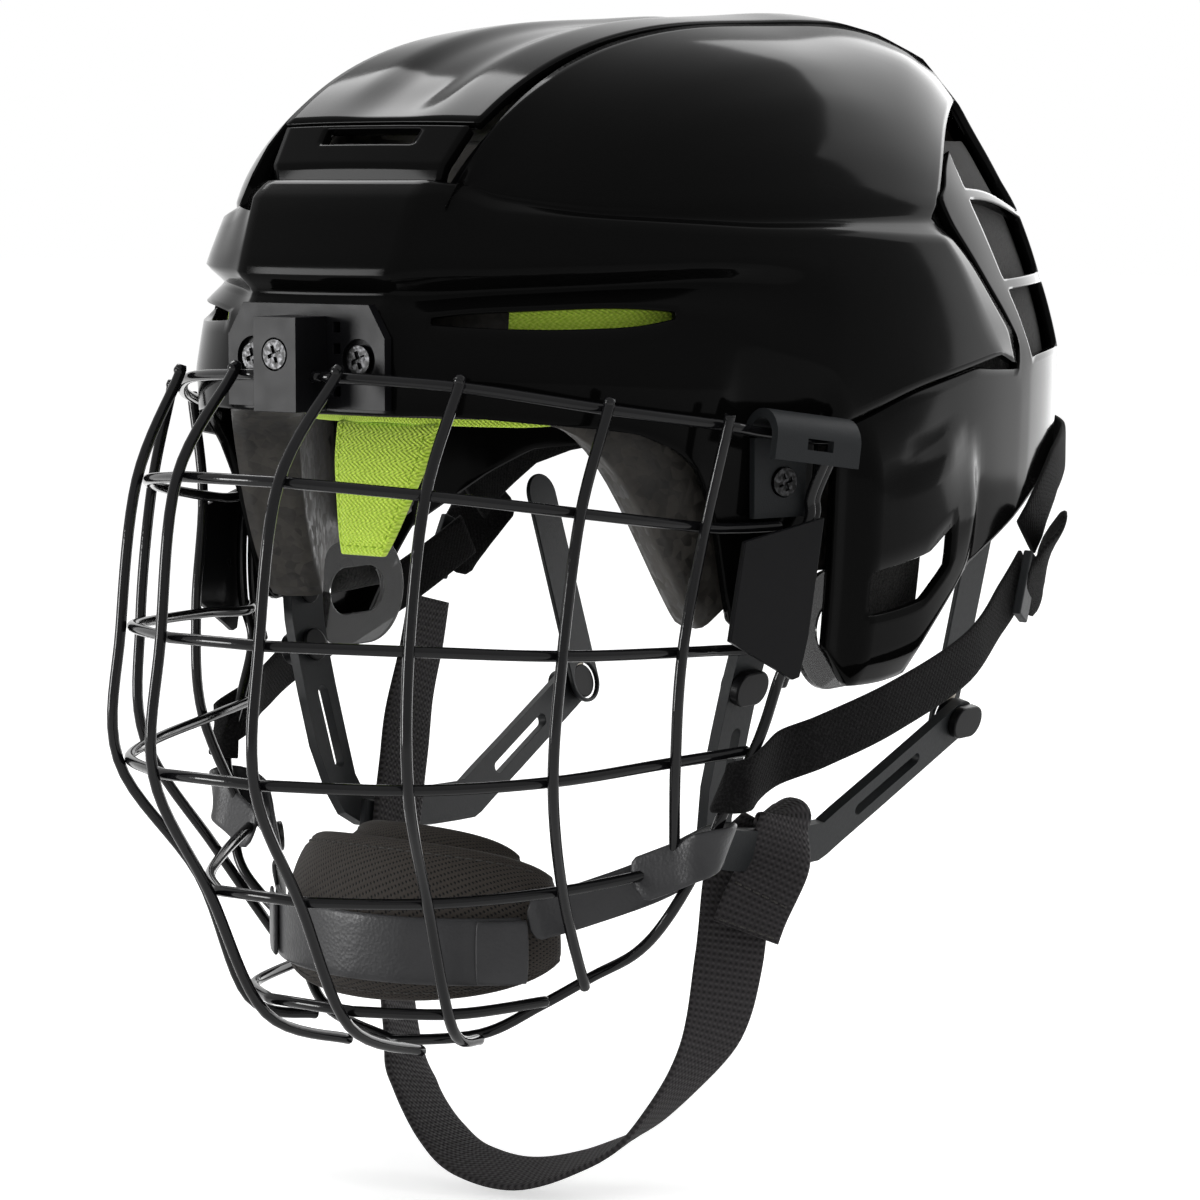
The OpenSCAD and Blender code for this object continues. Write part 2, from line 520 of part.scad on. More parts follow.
// Brow plate, centre clip and screws
plate_y = -shell_front + plate_setback;
plate_low = -7.5;
plate_high = 18;
pivot_y = -shell_front - 3.5;
pivot_z = 0.5;
clip_bottom = pivot_z - 8.5;
clip_depth = 11.5;
clip_screw_z = pivot_z + 5.5;
brow_screw_x = 16.8;
brow_screw_z = 4.6;
module from_front(y) {
    translate([0, y, 0]) rotate([90, 0, 0]) children();
}
module brow_screw_axes() {
    for (s = [-1, 1])
        from_front(plate_y) translate([s * brow_screw_x, brow_screw_z, 0]) children();
}
module clip_screw_axis() {
    from_front(plate_y) translate([0, clip_screw_z, 0]) children();
}
module screw_body(length) {
    difference() {
        union() {
            cylinder(d = screw_head_d, h = 1.6);
            translate([0, 0, -length]) cylinder(d = screw_d, h = length + 0.5);
        }
        for (turn = [0, 90])
            rotate([0, 0, turn + 20]) translate([-screw_head_d * 0.3, -0.5, 0.8])
                cube([screw_head_d * 0.6, 1, 1]);
    }
}
module brow_plate() {
    color("#161718") difference() {
        from_front(plate_y + plate_wall) linear_extrude(plate_wall) difference() {
            polygon([[-plate_half, plate_low], [plate_half, plate_low], [plate_half, plate_high - 8],
                     [plate_half - 5, plate_high], [5 - plate_half, plate_high],
                     [-plate_half, plate_high - 8]]);
            for (s = [-1, 1]) for (k = [0 : 3])
                translate([s * 10 - 1.1, plate_low + 3 + k * 5.2]) square([2.2, 2.6]);
        }
        brow_screw_axes() cylinder(d = screw_head_d + 3, h = 3, center = true);
        brow_screw_axes() cylinder(d = screw_d + 0.4, h = 20, center = true);
        clip_screw_axis() cylinder(d = screw_d + 0.4, h = 20, center = true);
    }
}
module cage_clip() {
    color("#3a3c3e") difference() {
        from_front(plate_y - 0.05) translate([-clip_width / 2, clip_bottom, 0])
            cube([clip_width, clip_height, clip_depth]);
        translate([0, pivot_y, pivot_z]) rotate([0, 90, 0])
            cylinder(r = wire_r + hinge_play, h = clip_width + 2, center = true);
        clip_screw_axis() cylinder(d = screw_d + 0.4, h = 40, center = true);
        clip_screw_axis() translate([0, 0, clip_depth - 1.6]) cylinder(d = screw_head_d + 0.8, h = 3);
        for (s = [-1, 1])
            translate([s * (clip_width / 2 - 1), pivot_y + 3, clip_bottom]) cube([4, 3, 5], center = true);
    }
}
module clip_screw() {
    color("#8c8f92") clip_screw_axis() translate([0, 0, clip_depth - 1.5]) screw_body(clip_depth + nut_depth - 0.3);
}
module brow_screws() {
    color("#8c8f92") brow_screw_axes() translate([0, 0, -1.45]) screw_body(nut_depth + 0.4);
}
module nut() {
    difference() {
        cylinder(d = 9, h = 1.4);
        translate([0, 0, -1]) cylinder(d = screw_d + 0.1, h = 4);
    }
}
nut_depth = plate_wall + shell_wall + 0.7;
module screw_nuts() {
    color("#9a9c9e") {
        brow_screw_axes() translate([0, 0, -nut_depth - 1.4]) nut();
        clip_screw_axis() translate([0, 0, -nut_depth - 1.4]) nut();
        for (side = ["left", "right"])
            at_side_clip(side) side_screw_axis() translate([0, 0, -side_nut_depth - 1.4]) nut();
    }
}

// Side clips: local X points out of the shell, local Y runs back along the shell
clip_y = -59;
clip_z = -16.3;
clip_yaw = 19.3;
clip_pitch = 8;
clip_stand = 3.2;
side_bore = 4.6;
side_wall = 2.4;
side_shift = 1.2;
side_screw_drop = 10.2;
side_leg = 2.1;
side_mouth = 5.2;
side_nut_depth = side_leg + shell_wall + 2.6;
function clip_centre() = [side_x(clip_y, clip_z) + clip_stand, clip_y, clip_z];
function clip_local(p) =
    let (q = [p.x, p.y * cos(clip_pitch), p.z - p.y * sin(clip_pitch)])
    clip_centre() + [q.x * cos(clip_yaw) + q.y * sin(clip_yaw), q.y * cos(clip_yaw) - q.x * sin(clip_yaw), q.z];
module at_side_clip(side) {
    scale_side(side) translate(clip_centre()) rotate([0, 0, -clip_yaw]) children();
}
leg_face = side_shift - side_bore - 0.3;
screw_sink = 0.8;
module side_screw_axis() {
    translate([leg_face, -2, -side_screw_drop]) rotate([0, 90, 0]) children();
}
module side_clip(side) {
    color("#2e3133") at_side_clip(side) difference() {
        union() {
            rotate([-clip_pitch, 0, 0]) translate([side_shift, side_clip_length / 2, 0]) rotate([90, 0, 0])
                linear_extrude(side_clip_length) difference() {
                    union() {
                        circle(r = side_bore + side_wall);
                        translate([0, -side_mouth]) square([side_bore + side_wall, side_mouth]);
                    }
                    circle(r = side_bore);
                    translate([-2 * side_bore, -2 * side_bore - side_mouth])
                        square([4 * side_bore, 2 * side_bore]);
                    translate([-2 * side_bore, -side_mouth - 1]) square([3 * side_bore, side_mouth + 1]);
                }
            translate([leg_face - side_leg, -11, -19]) cube([side_leg, 16, 20]);
        }
        rotate([-clip_pitch, 0, 0]) translate([side_shift + 2, -3.5, -2]) cube([8, 8, 2.8]);
        side_screw_axis() cylinder(d = screw_d + 0.4, h = 20, center = true);
        side_screw_axis() translate([0, 0, -screw_sink]) cylinder(d = screw_head_d + 0.6, h = 10);
    }
}
module side_clip_screws() {
    color("#8c8f92") for (side = ["left", "right"])
        at_side_clip(side) side_screw_axis() translate([0, 0, 0.05 - screw_sink]) screw_body(side_nut_depth + 0.4);
}

// The cage: where the cross wires meet the uprights, measured from the hinge wire at its nominal size.
// Uprights a to d run from the middle outwards, cross wires 1 to 6 from the top down.
nominal_width = 160;
nominal_reach = 32;
nominal_drop = 158;
crossings = [
    [[16, 0, 0], [43.5, 11.5, -2], [68, 36, -7.5], [84, 62, -12]],
    [[16, -22.5, -24], [45.5, -4.5, -27], [68, 25.5, -32], [80.5, 59, -37]],
    [[15.5, -29.5, -62.5], [45.5, -11, -63.5], [67, 19.5, -66], [78, 53, -67.5]],
    [[16, -32, -95.5], [46, -12, -96.5], [65, 18.5, -96.5], [76, 53, -95]],
    [[14.5, -14, -126.5], [36.5, 7, -127.5], [55.5, 35, -126.5], [69, 62.5, -123.5]],
    [[13.5, 4.5, -158], [33, 20.5, -159], [42, 46.5, -159]]];
outward = [[0.1, -1, 0], [0.4, -0.92, 0], [0.75, -0.66, 0], [0.9, -0.43, 0]];
weld_gap = 0.3;
wire_steps = 3;
// A wider cage spreads in front and keeps its place beside the shell, where the clips hold it
clip_row = 60;
function spread(p) = (cage_width - nominal_width) / nominal_width * max(1 - max(p.y, 0) / clip_row, 0);
function cage_point(p) = [p.x * (1 + spread(p)),
    pivot_y + (p.y < 0 ? p.y * cage_reach / nominal_reach : p.y), pivot_z + p.z * cage_drop / nominal_drop];
// The upper wire lies on its crossings, the others half a wire inside them and the uprights outside
function crossing(k, j, side) =
    let (out = outward[min(j, 3)] + (k == 5 ? [0, 0, -2] : [0, 0, 0]),
         apart = k == 0 ? 1.1 * (side + 1) : k == 5 ? 1.2 * side : side)
    cage_point(crossings[k][j]) + apart * (wire_r + weld_gap / 2) * unit(out);
// Ends of the cross wires at the side of the face, beside the frame wire
frame_y = -60;
frame_stand = 3;
function frame_side(z) = [side_x(frame_y, -40) + frame_stand, frame_y, z];
function wire_end(k) =
    let (z = cage_point(crossings[k][3]).z - 1)
    [[side_x(-72, z) - 0.5, -72, z], frame_side(z) - [wire_d + weld_gap, 0.5, 0]];
function half_cross(k) = [for (j = [0 : len(crossings[k]) - 1]) crossing(k, j, -1)];
function cross_path(half) =
    let (s = spline(half, wire_steps))
    [for (i = [len(s) - 1 : -1 : 0]) mirrored(s[i]), each s];
module middle_wire(k, extra) {
    color("#121213") wire(cross_path(concat(half_cross(k), extra)), [0, 0, 1]);
}
hinge_half = 11;
module cross_wire_1() {
    half = concat([[hinge_half - 1, pivot_y, pivot_z]], half_cross(0),
                  [clip_local([-0.4, -side_clip_length / 2, 1]), clip_local([-0.4, 0, 1]),
                   clip_local([-0.4, side_clip_length / 2 - 4, 1])]);
    path = spline(half, wire_steps);
    color("#121213") {
        translate([0, pivot_y, pivot_z]) rotate([0, 90, 0])
            cylinder(r = wire_r, h = 2 * hinge_half, center = true);
        wire(path, [0, 0, 1]);
        wire([for (k = [len(path) - 1 : -1 : 0]) mirrored(path[k])], [0, 0, 1]);
    }
}
module cross_wire_2() middle_wire(1, wire_end(1));
module cross_wire_3() middle_wire(2, wire_end(2));
module cross_wire_4() middle_wire(3, [cage_point([81.9, 76.5, -94])]);
module cross_wire_5() middle_wire(4, []);
module cross_wire_6() middle_wire(5, []);

upright_feet = [[[12, 34, -171.5]], [[27, 38.5, -167.5]], [[50, 52, -153.5]], []];
function upright_points(j) = concat(
    [crossing(0, j, 1) + [0, 0, 1.5]],
    [for (k = [0 : (j > 1 ? 4 : 5)]) crossing(k, j, 1)],
    [for (p = upright_feet[j]) cage_point(p)]);
module upright_pair(j) {
    path = spline(upright_points(j), wire_steps);
    color("#121213") {
        wire(path, [1, 0, 0]);
        mirror([1, 0, 0]) wire(path, [1, 0, 0]);
    }
}
function frame_points() = concat(
    [clip_local([2.7, 10, 1]), clip_local([2.7, 7, -2.5]), clip_local([-1.6, 5, -13]),
     clip_local([-1.6, 4.5, -19]), frame_side(-48), frame_side(-66)],
    [for (p = [[86.5, 83, -78], [85, 77, -91.5], [82, 67, -107.5], [78, 65, -118], [71, 59, -134],
               [61, 59, -144.5], [48, 58, -152], [38.5, 49, -159], [24.5, 42, -167], [0, 38, -171]])
        cage_point(p)]);
module frame_wire() {
    half = spline(frame_points(), wire_steps);
    color("#121213") wire([each half, for (i = [len(half) - 2 : -1 : 0]) mirrored(half[i])], [0, 1, 0]);
}
module side_wires() {
    shift = [-0.8, wire_d + weld_gap + 0.5, 0];
    path = spline([for (i = [1 : 6]) frame_points()[i] + shift], wire_steps);
    color("#121213") for (side = ["left", "right"]) scale_side(side) wire(path, [0, 1, 0]);
}
module side_plate(side) {
    color("#141415") scale_side(side) translate(frame_side(-55) + [wire_r + 0.5, 0, 0])
        rotate([0, 0, -13]) rotate([90, 0, 90]) linear_extrude(1.6)
            polygon([[-18.7, 15.1], [8, 19.5], [2.7, -10], [-0.3, -19.8], [-2.6, -20.3], [-6.7, -18],
                     [-23.6, -9.2]]);
}

// Harness straps: each wraps the frame wire in front and ends at its tab behind
function harness_points() = [
    cage_point([79.6, 69, -102.5]), cage_point([82.4, 66.2, -102]), cage_point([87, 69.4, -101]),
    [side_x(-60, -60) + 2.5, -60, -95.5], [side_x(-48, -60) + 4, -48, -92], [side_x(-26, -60) + 6, -26, -85.5],
    [side_x(6, -60) + 6.5, 6, -76], [side_x(30, -60) + 4, 30, -65], [side_x(46, -60) + 3.6, 46, -56.5]];
module harness_strap(side) {
    path = spline(harness_points(), 3);
    n = len(path) - 1;
    color("#232122") scale_side(side) ribbon(path, harness_width, harness_wall,
        [for (k = [0 : n]) mix([0.17, 0.5, 1], [-0.05, 0.25, 1], k / n)]);
}
tab_place = [side_x(40, -60) + 6.7, 40, -60];
module harness_tabs() {
    color("#1b1b1c") for (side = ["left", "right"]) scale_side(side)
        translate(tab_place) rotate([-25, 3, 13.5]) cube([2.4, 8, 18], center = true);
}
// The strap round the back runs from tab to tab
nape_height = [[0, -26], [45, -29], [52, -33], [58, -41], [64, -52]];
nape_stand = [[0, 1.8], [57, 2.2], [60, 2.3], [64, 1.5]];
module nape_strap() {
    angles = [for (k = [-13 : 13]) k * 4.8];
    path = [for (a = angles) skin(180 + a, lookup(abs(a), nape_height), lookup(abs(a), nape_stand))];
    color("#232122") ribbon(path, harness_width, harness_wall, [for (a = angles) [0, 0, 1]]);
}

// Ear loops lie in a plane that leans in towards the chin
loop_top = [70, -54.5, -78.5];
loop_tilt = 14;
loop_peg = [2, 15];
loop_route = [loop_peg, [0, 0], [2, -38], [14, -46.5], [50, -49.5], [62, -46], [114, -22]];
loop_rear = loop_route[6];
peg_r = 2;
module in_loop_plane(side) {
    scale_side(side) translate(loop_top) rotate([0, loop_tilt, 0]) rotate([90, 0, 90]) children();
}
function loop_place(q, out) =
    [loop_top.x + q.y * sin(loop_tilt) + out * cos(loop_tilt), loop_top.y + q.x,
     loop_top.z + q.y * cos(loop_tilt) - out * sin(loop_tilt)];
module capsule(a, b, w) {
    d = b - a;
    translate(a) circle(d = w);
    translate(b) circle(d = w);
    translate(a) rotate(atan2(d.y, d.x)) translate([0, -w / 2]) square([norm(d), w]);
}
// The outline of a flat band along a line, its ends rounded in short straight steps
function round_end(middle, w, facing) =
    [for (turn = [-90 : 18 : 90]) middle + w / 2 * [cos(facing + turn), sin(facing + turn)]];
function band_outline(line, widths) =
    let (last = len(line) - 1,
         along = [for (i = [0 : last]) unit(line[min(i + 1, last)] - line[max(i - 1, 0)])],
         beside = [for (i = [0 : last]) widths[i] / 2 * [along[i].y, -along[i].x]])
    concat([for (i = [0 : last]) if (i > 0 && i < last) line[i] + beside[i]],
           round_end(line[last], widths[last], atan2(along[last].y, along[last].x)),
           [for (i = [last : -1 : 0]) if (i > 0 && i < last) line[i] - beside[i]],
           round_end(line[0], widths[0], atan2(-along[0].y, -along[0].x)));
module ear_loop(side) {
    line = spline(loop_route, 3);
    color("#2e3133") in_loop_plane(side) linear_extrude(loop_wall) difference() {
        polygon(band_outline(line, [for (i = [0 : len(line) - 1]) i < 6 ? loop_width : loop_width - 2]));
        polygon(band_outline([mix(loop_route[1], loop_route[2], 0.35), mix(loop_route[1], loop_route[2], 0.85)],
                             [4, 4]));
        polygon(band_outline([mix(loop_route[5], loop_route[6], 0.15), mix(loop_route[5], loop_route[6], 0.62)],
                             [3.4, 3.4]));
        translate(loop_route[1]) circle(r = 3.2);
        translate(loop_rear) circle(r = 3.2);
        translate(loop_peg) circle(r = peg_r + 0.15);
    }
}
module snap(place, out, inward) {
    in_loop_plane("left") translate([place.x, place.y, 0]) {
        translate([0, 0, loop_wall + 0.1]) linear_extrude(2.6) capsule([-2.5, 0], [2.5, 0], 9);
        translate([0, 0, -inward]) cylinder(r = 3.1, h = loop_wall + inward + 0.3);
        if (out > 0) translate([0, 0, -inward]) cylinder(r = out, h = inward - 0.3);
    }
}
module front_snaps() {
    color("#1c1d1f") for (side = ["left", "right"]) scale_side(side) {
        snap(loop_route[1], 4.5, 1.6);
        in_loop_plane("left") translate([loop_peg.x, loop_peg.y, -1.4]) {
            cylinder(r = peg_r * 1.8, h = 1.2);
            cylinder(r = peg_r, h = loop_wall + 6);
        }
    }
}
module rear_snaps() {
    color("#1c1d1f") for (side = ["left", "right"]) scale_side(side) snap(loop_rear, 5, 2.6);
}
holder_wall = 2.2;
module rear_holder(side) {
    foot = loop_place(loop_rear, -0.3 - holder_wall / 2);
    color("#1e1f20") scale_side(side) translate(foot) rotate([0, loop_tilt, 0]) rotate([90, 0, 90])
        translate([0, 0, -holder_wall]) linear_extrude(holder_wall - 0.8) difference() {
            capsule([0, 0], [-3, 56], 13);
            circle(r = 5.4);
        }
}
module ear_guard(side) {
    color([0.85, 0.87, 0.85, 0.45]) scale_side(side) translate([80, -23, -66.5]) rotate([90, 0, 90])
        linear_extrude(1.6) difference() {
            capsule([-5, 0], [5, 0], 31);
            capsule([-5, 0], [5, 0], 13);
        }
}

// Chin strap: from the left ear loop, under the chin, up to the snap on the right
chin_route = [[57, -24, -119], [55.6, -27.5, -127], [54.8, -31, -134], [57.6, -39, -154],
              [55, -43.6, -174], [44, -49.6, -192.6], [32, -55.5, -204], [12, -63, -212], [-6, -65, -211],
              [-19, -63, -205], [-30, -60, -195], [-38, -55.5, -184], [-46, -49.5, -160],
              [-50.5, -43.5, -135], [-55, -34, -112], [-58, -27, -96], [-58.5, -21, -80], [-58.5, -18, -68]];
module chin_strap() {
    path = spline(chin_route, 4);
    color("#2b282a") ribbon(path, chin_strap_width, chin_strap_wall, [for (p = path) [0, 1, 0.25]]);
}
module strap_fold() {
    path = spline([[58.4, -23.4, -117.2], [61, -23, -116.2], [64.6, -23.8, -118], [65.4, -28.4, -128],
                   [62.8, -34.6, -140], [62, -37.6, -146]], 4);
    color("#2b282a") ribbon(path, chin_strap_width, chin_strap_wall, [for (p = path) [0, 1, 0.25]]);
}
// Places its children on a strap: local X along it, local Z out of its face
module on_strap(path, i, width_axis) {
    t = tangent(path, i);
    w = unit(width_axis - t * (width_axis * t));
    n = cross(t, w);
    multmatrix([[t.x, w.x, n.x, path[i].x], [t.y, w.y, n.y, path[i].y], [t.z, w.z, n.z, path[i].z],
                [0, 0, 0, 1]]) children();
}
eyelet_index = 52;
module snap_eyelet() {
    color("#b9bcc0") on_strap(spline(chin_route, 4), eyelet_index, [0, 1, 0.25])
        translate([0, 0, -chin_strap_wall / 2 - 1.7]) difference() {
            cylinder(d = 11, h = 1.6);
            translate([0, 0, -1]) cylinder(d = 4.6, h = 4);
        }
}
module snap_keeper() {
    color("#1b1b1c") on_strap(spline(chin_route, 4), eyelet_index, [0, 1, 0.25])
        translate([0, 0, chin_strap_wall / 2 + 1.5]) cube([26, 22, 2.2], center = true);
}

// Chin cup: a padded bowl that hangs from the frame wire
cup_room = 0.5;
cup_centre = [0, pivot_y + 72.5, cage_point([0, 0, -nominal_drop]).z + cup_height / 2 + cup_room];
cup_half = 64;
function cup_at(angle, r, z) = cup_centre + [r * sin(angle), -r * cos(angle), z];
cup_ring = [for (k = [0 : 13]) 360 * k / 14];
module cup_body(r_mid, wall, height, half, lift, lean_in) {
    angles = [for (k = [-10 : 10]) half * k / 10];
    function shrink(a) = pow(max(1 - pow(abs(a) / (half * 1.04), 6), 0), 0.5);
    points = [for (a = angles) for (k = cup_ring)
        let (w = wall / 2 * cos(k) * shrink(a), h = height / 2 * sin(k) * (0.55 + 0.45 * shrink(a)))
        cup_at(a, r_mid + w + lean_in * h / height, lift + h)];
    n = len(cup_ring);
    m = len(angles);
    polyhedron(points, concat(
        [for (i = [0 : m - 2]) for (k = [0 : n - 1])
            let (p = i * n + k, q = i * n + (k + 1) % n) each [[p, q + n, p + n], [p, q, q + n]]],
        [[for (k = [n - 1 : -1 : 0]) k]], [[for (k = [0 : n - 1]) (m - 1) * n + k]]));
}
module cup_pad() {
    color("#3b3733") cup_body(cup_radius - cup_wall / 2, cup_wall, cup_height, cup_half, 0, -8);
}
module cup_liner() {
    color("#2c2a28") cup_body(cup_radius - cup_wall * 1.5 - 0.6, cup_wall * 0.8, cup_height * 0.8, cup_half - 6, 6, -8);
}
module cup_band() {
    angles = [for (k = [-12 : 12]) 50 * k / 12];
    path = [for (a = angles) cup_at(a, cup_radius + 2, -4)];
    color("#1a1a1b") ribbon(path, 20, 1.4, [for (a = angles) [0, 0, 1]]);
}
cup_tip = cage_point([78, 65, -118]);
strap_axis = [0.3, 0.2, 0.93];
cup_strap_route = [cup_at(55, cup_radius + 2.2, 2), cup_at(64, cup_radius + 3, 4), cup_tip + [-17, -3, -9.5],
                   cup_tip + [-8.5, 3, -4], cup_tip + [-2, 4.6, 0], cup_tip + [3.6, 3.5, 1.5],
                   cup_tip + [4.6, -1, 1], cup_tip + [1.5, -4.6, -0.5]];
module cup_strap(side) {
    path = spline(cup_strap_route, 3);
    color("#1a1a1b") scale_side(side) ribbon(path, 11.5, 1.6, [for (p = path) strap_axis]);
}
module cup_rivets() {
    color("#3c3e40") for (side = ["left", "right"]) scale_side(side)
        on_strap(spline(cup_strap_route, 3), 6, strap_axis) translate([0, 0, -1 - 1.4])
            cylinder(d = 8, h = 1.4);
}

front_shell();
vent_insert();
brow_plate();
cage_clip();
clip_screw();
brow_screws();
screw_nuts();
side_clip("left");  // side_clip_left
side_clip("right");  // side_clip_right
side_clip_screws();
front_liner();
temple_pad("left");  // temple_pad_left
temple_pad("right");  // temple_pad_right
brow_pad();
ear_guard("left");  // ear_guard_left
ear_guard("right");  // ear_guard_right
ear_loop("left");  // ear_loop_left
ear_loop("right");  // ear_loop_right
front_snaps();
rear_snaps();
rear_holder("left");  // rear_holder_left
rear_holder("right");  // rear_holder_right
chin_strap();
strap_fold();
snap_eyelet();
snap_keeper();
rear_shell();
rear_liner();
crown_pad();
nape_pad();
nape_strap();
harness_tabs();
cross_wire_1();
cross_wire_2();
cross_wire_3();
cross_wire_4();
cross_wire_5();
cross_wire_6();
upright_pair(0);  // uprights_a
upright_pair(1);  // uprights_b
upright_pair(2);  // uprights_c
upright_pair(3);  // uprights_d
frame_wire();
side_wires();
side_plate("left");  // side_plate_left
side_plate("right");  // side_plate_right
harness_strap("left");  // harness_strap_left
harness_strap("right");  // harness_strap_right
cup_pad();
cup_liner();
cup_band();
cup_strap("left");  // cup_strap_left
cup_strap("right");  // cup_strap_right
cup_rivets();
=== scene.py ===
# %% [markdown]
# # A youth hockey helmet with a wire cage
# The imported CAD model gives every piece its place. This lesson dresses it: smooth moulded shells, foam,
# padding, coated wire, webbing and screws, each made from a short formula and given its own finish.
# All sizes in the cells are millimetres, and one helper turns them into Blender's metres.

from contextlib import contextmanager

import bmesh
import bpy
import numpy as np
from mathutils import Matrix, Vector


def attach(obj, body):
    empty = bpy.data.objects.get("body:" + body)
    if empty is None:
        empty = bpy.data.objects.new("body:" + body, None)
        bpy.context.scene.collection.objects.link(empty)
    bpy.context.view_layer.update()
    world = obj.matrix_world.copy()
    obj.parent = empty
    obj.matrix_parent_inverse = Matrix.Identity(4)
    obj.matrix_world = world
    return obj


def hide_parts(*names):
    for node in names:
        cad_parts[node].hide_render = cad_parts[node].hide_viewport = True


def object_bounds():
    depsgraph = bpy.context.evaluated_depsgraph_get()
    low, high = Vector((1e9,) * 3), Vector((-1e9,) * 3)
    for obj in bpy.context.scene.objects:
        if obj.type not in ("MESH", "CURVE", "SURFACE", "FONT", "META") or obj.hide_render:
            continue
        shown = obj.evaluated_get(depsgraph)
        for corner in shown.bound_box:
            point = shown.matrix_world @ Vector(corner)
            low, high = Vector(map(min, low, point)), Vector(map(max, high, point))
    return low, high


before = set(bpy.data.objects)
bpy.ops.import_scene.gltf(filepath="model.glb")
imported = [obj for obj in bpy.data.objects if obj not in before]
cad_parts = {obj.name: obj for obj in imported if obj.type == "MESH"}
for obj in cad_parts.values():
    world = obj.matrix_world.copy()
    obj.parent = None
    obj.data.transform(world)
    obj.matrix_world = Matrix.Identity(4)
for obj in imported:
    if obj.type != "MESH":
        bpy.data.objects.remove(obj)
cad_box = [list(corner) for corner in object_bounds()]
MM = 0.001
print("nodes", len(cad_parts), "box", cad_box)

# %% [markdown]
# ## The camera
# The photograph looks down a little from the wearer's front left with a long lens. The angles, the
# distance and the point looked at come from lining up mirrored points of the helmet in the picture.

# %% Place the camera
AZIMUTH, ELEVATION, DISTANCE = 36.3, 6.0, 1081
LENS, SENSOR, FAR = 120, 36, 20
LOOK_AT = np.array([0, -17, -65.0])


def sind(a):
    """Sine of an angle in degrees."""
    return np.sin(np.radians(a))


def cosd(a):
    """Cosine of an angle in degrees."""
    return np.cos(np.radians(a))


def placed(name, data):
    """A new object in the scene."""
    made = bpy.data.objects.new(name, data)
    bpy.context.scene.collection.objects.link(made)
    return made


back = np.array([sind(AZIMUTH) * cosd(ELEVATION), -cosd(AZIMUTH) * cosd(ELEVATION), sind(ELEVATION)])
right = np.array([cosd(AZIMUTH), sind(AZIMUTH), 0])
up = np.cross(back, right)
camera = placed("camera", bpy.data.cameras.new("camera"))
camera.data.lens, camera.data.sensor_width, camera.data.clip_end = LENS, SENSOR, FAR
turn = Matrix(np.stack([right, up, back], axis=1).tolist()).to_4x4()
camera.matrix_world = Matrix.Translation(Vector((LOOK_AT + back * DISTANCE) * MM)) @ turn
bpy.context.scene.camera = camera
print("camera at", [round(x, 3) for x in camera.matrix_world.translation])

# %% [markdown]
# ## Shader maths as Python
# A node tree is easier to read as arithmetic. One small class wraps a socket, so that a * b + 1 adds the
# Math nodes, and a Finish has one method that adds any other node from its settings and its inputs.

# %% Sockets and finishes


def operator(kind, swapped=False):
    """A method that adds one Math node. Its inputs are swapped where a plain number comes first."""
    return lambda self, *others: self.math(kind, *((*others, self) if swapped else (self, *others)))


class Sock:
    """A number in a node tree. Each operator adds one Math node and gives its result."""

    __add__ = __radd__ = operator("ADD")
    __mul__ = __rmul__ = operator("MULTIPLY")
    __rsub__ = operator("SUBTRACT", swapped=True)
    sine, greater = operator("SINE"), operator("MAXIMUM")

    def __init__(self, finish, socket):
        self.finish, self.socket = finish, socket

    def math(self, operation, *values):
        return self.finish.node("ShaderNodeMath", {"operation": operation}, dict(enumerate(values)))

    def between(self, low, high):
        """0 below low, 1 above high, and a smooth climb between them."""
        return self.finish.node("ShaderNodeMapRange", {"interpolation_type": "SMOOTHSTEP"},
                                {"Value": self, "From Min": low, "From Max": high})


def paint(color):
    """A colour as a socket takes it. One number stands for a grey."""
    return (*(color if isinstance(color, tuple) else (color,) * 3), 1)


class Finish:
    """A node tree: a shader whose sockets are set by name, and one method that adds any other node."""

    def __init__(self, name, owner=None, shader="Principled BSDF", **sockets):
        self.material = owner or bpy.data.materials.new(name)
        self.material.use_nodes = True
        self.tree = self.material.node_tree
        self.shader = self.tree.nodes[shader]
        self.put(**sockets)

    def join(self, node, values):
        """Sets the inputs of a node, or links them to sockets."""
        for key, value in values.items():
            if isinstance(value, Sock):
                self.tree.links.new(value.socket, node.inputs[key])
            else:
                node.inputs[key].default_value = value

    def put(self, **sockets):
        """Sets or links sockets of the shader. Their names have _ for a space."""
        self.join(self.shader, {key.replace("_", " "): value for key, value in sockets.items()})

    def node(self, kind, settings=None, values=None, out=0):
        made = self.tree.nodes.new(kind)
        for key, value in (settings or {}).items():
            setattr(made, key, value)
        self.join(made, values or {})
        return Sock(self, made.outputs[out])

    def place(self):
        """Where a point of the surface is, in metres."""
        return self.node("ShaderNodeTexCoord", out="Object")

    def cloth(self):
        """Across and along a strap or panel, in millimetres, from the piece's own map."""
        both = self.node("ShaderNodeUVMap", {"uv_map": "weave"})
        return [self.node("ShaderNodeSeparateXYZ", None, {0: both}, out=k) for k in (0, 1)]

    def noise(self, scale, detail=3, roughness=0.5):
        return self.node("ShaderNodeTexNoise", None,
                         {"Vector": self.place(), "Scale": scale, "Detail": detail, "Roughness": roughness})

    def cells(self, scale, feature="F1", out="Distance"):
        return self.node("ShaderNodeTexVoronoi", {"feature": feature}, {"Vector": self.place(), "Scale": scale},
                         out=out)

    def tint(self, amount, first, second):
        """Sets the colour between two, by an amount from 0 to 1."""
        colors = {0: amount, 6: paint(first), 7: paint(second)}
        self.put(Base_Color=self.node("ShaderNodeMix", {"data_type": "RGBA"}, colors, out=2))

    def rough(self, base, spread, amount):
        """Sets the roughness: base + spread x amount."""
        self.put(Roughness=base + spread * amount)

    def bump(self, height, distance, strength=1.0):
        self.put(Normal=self.node("ShaderNodeBump", None,
                                  {"Height": height, "Distance": distance, "Strength": strength}))


print("shader helpers ready")

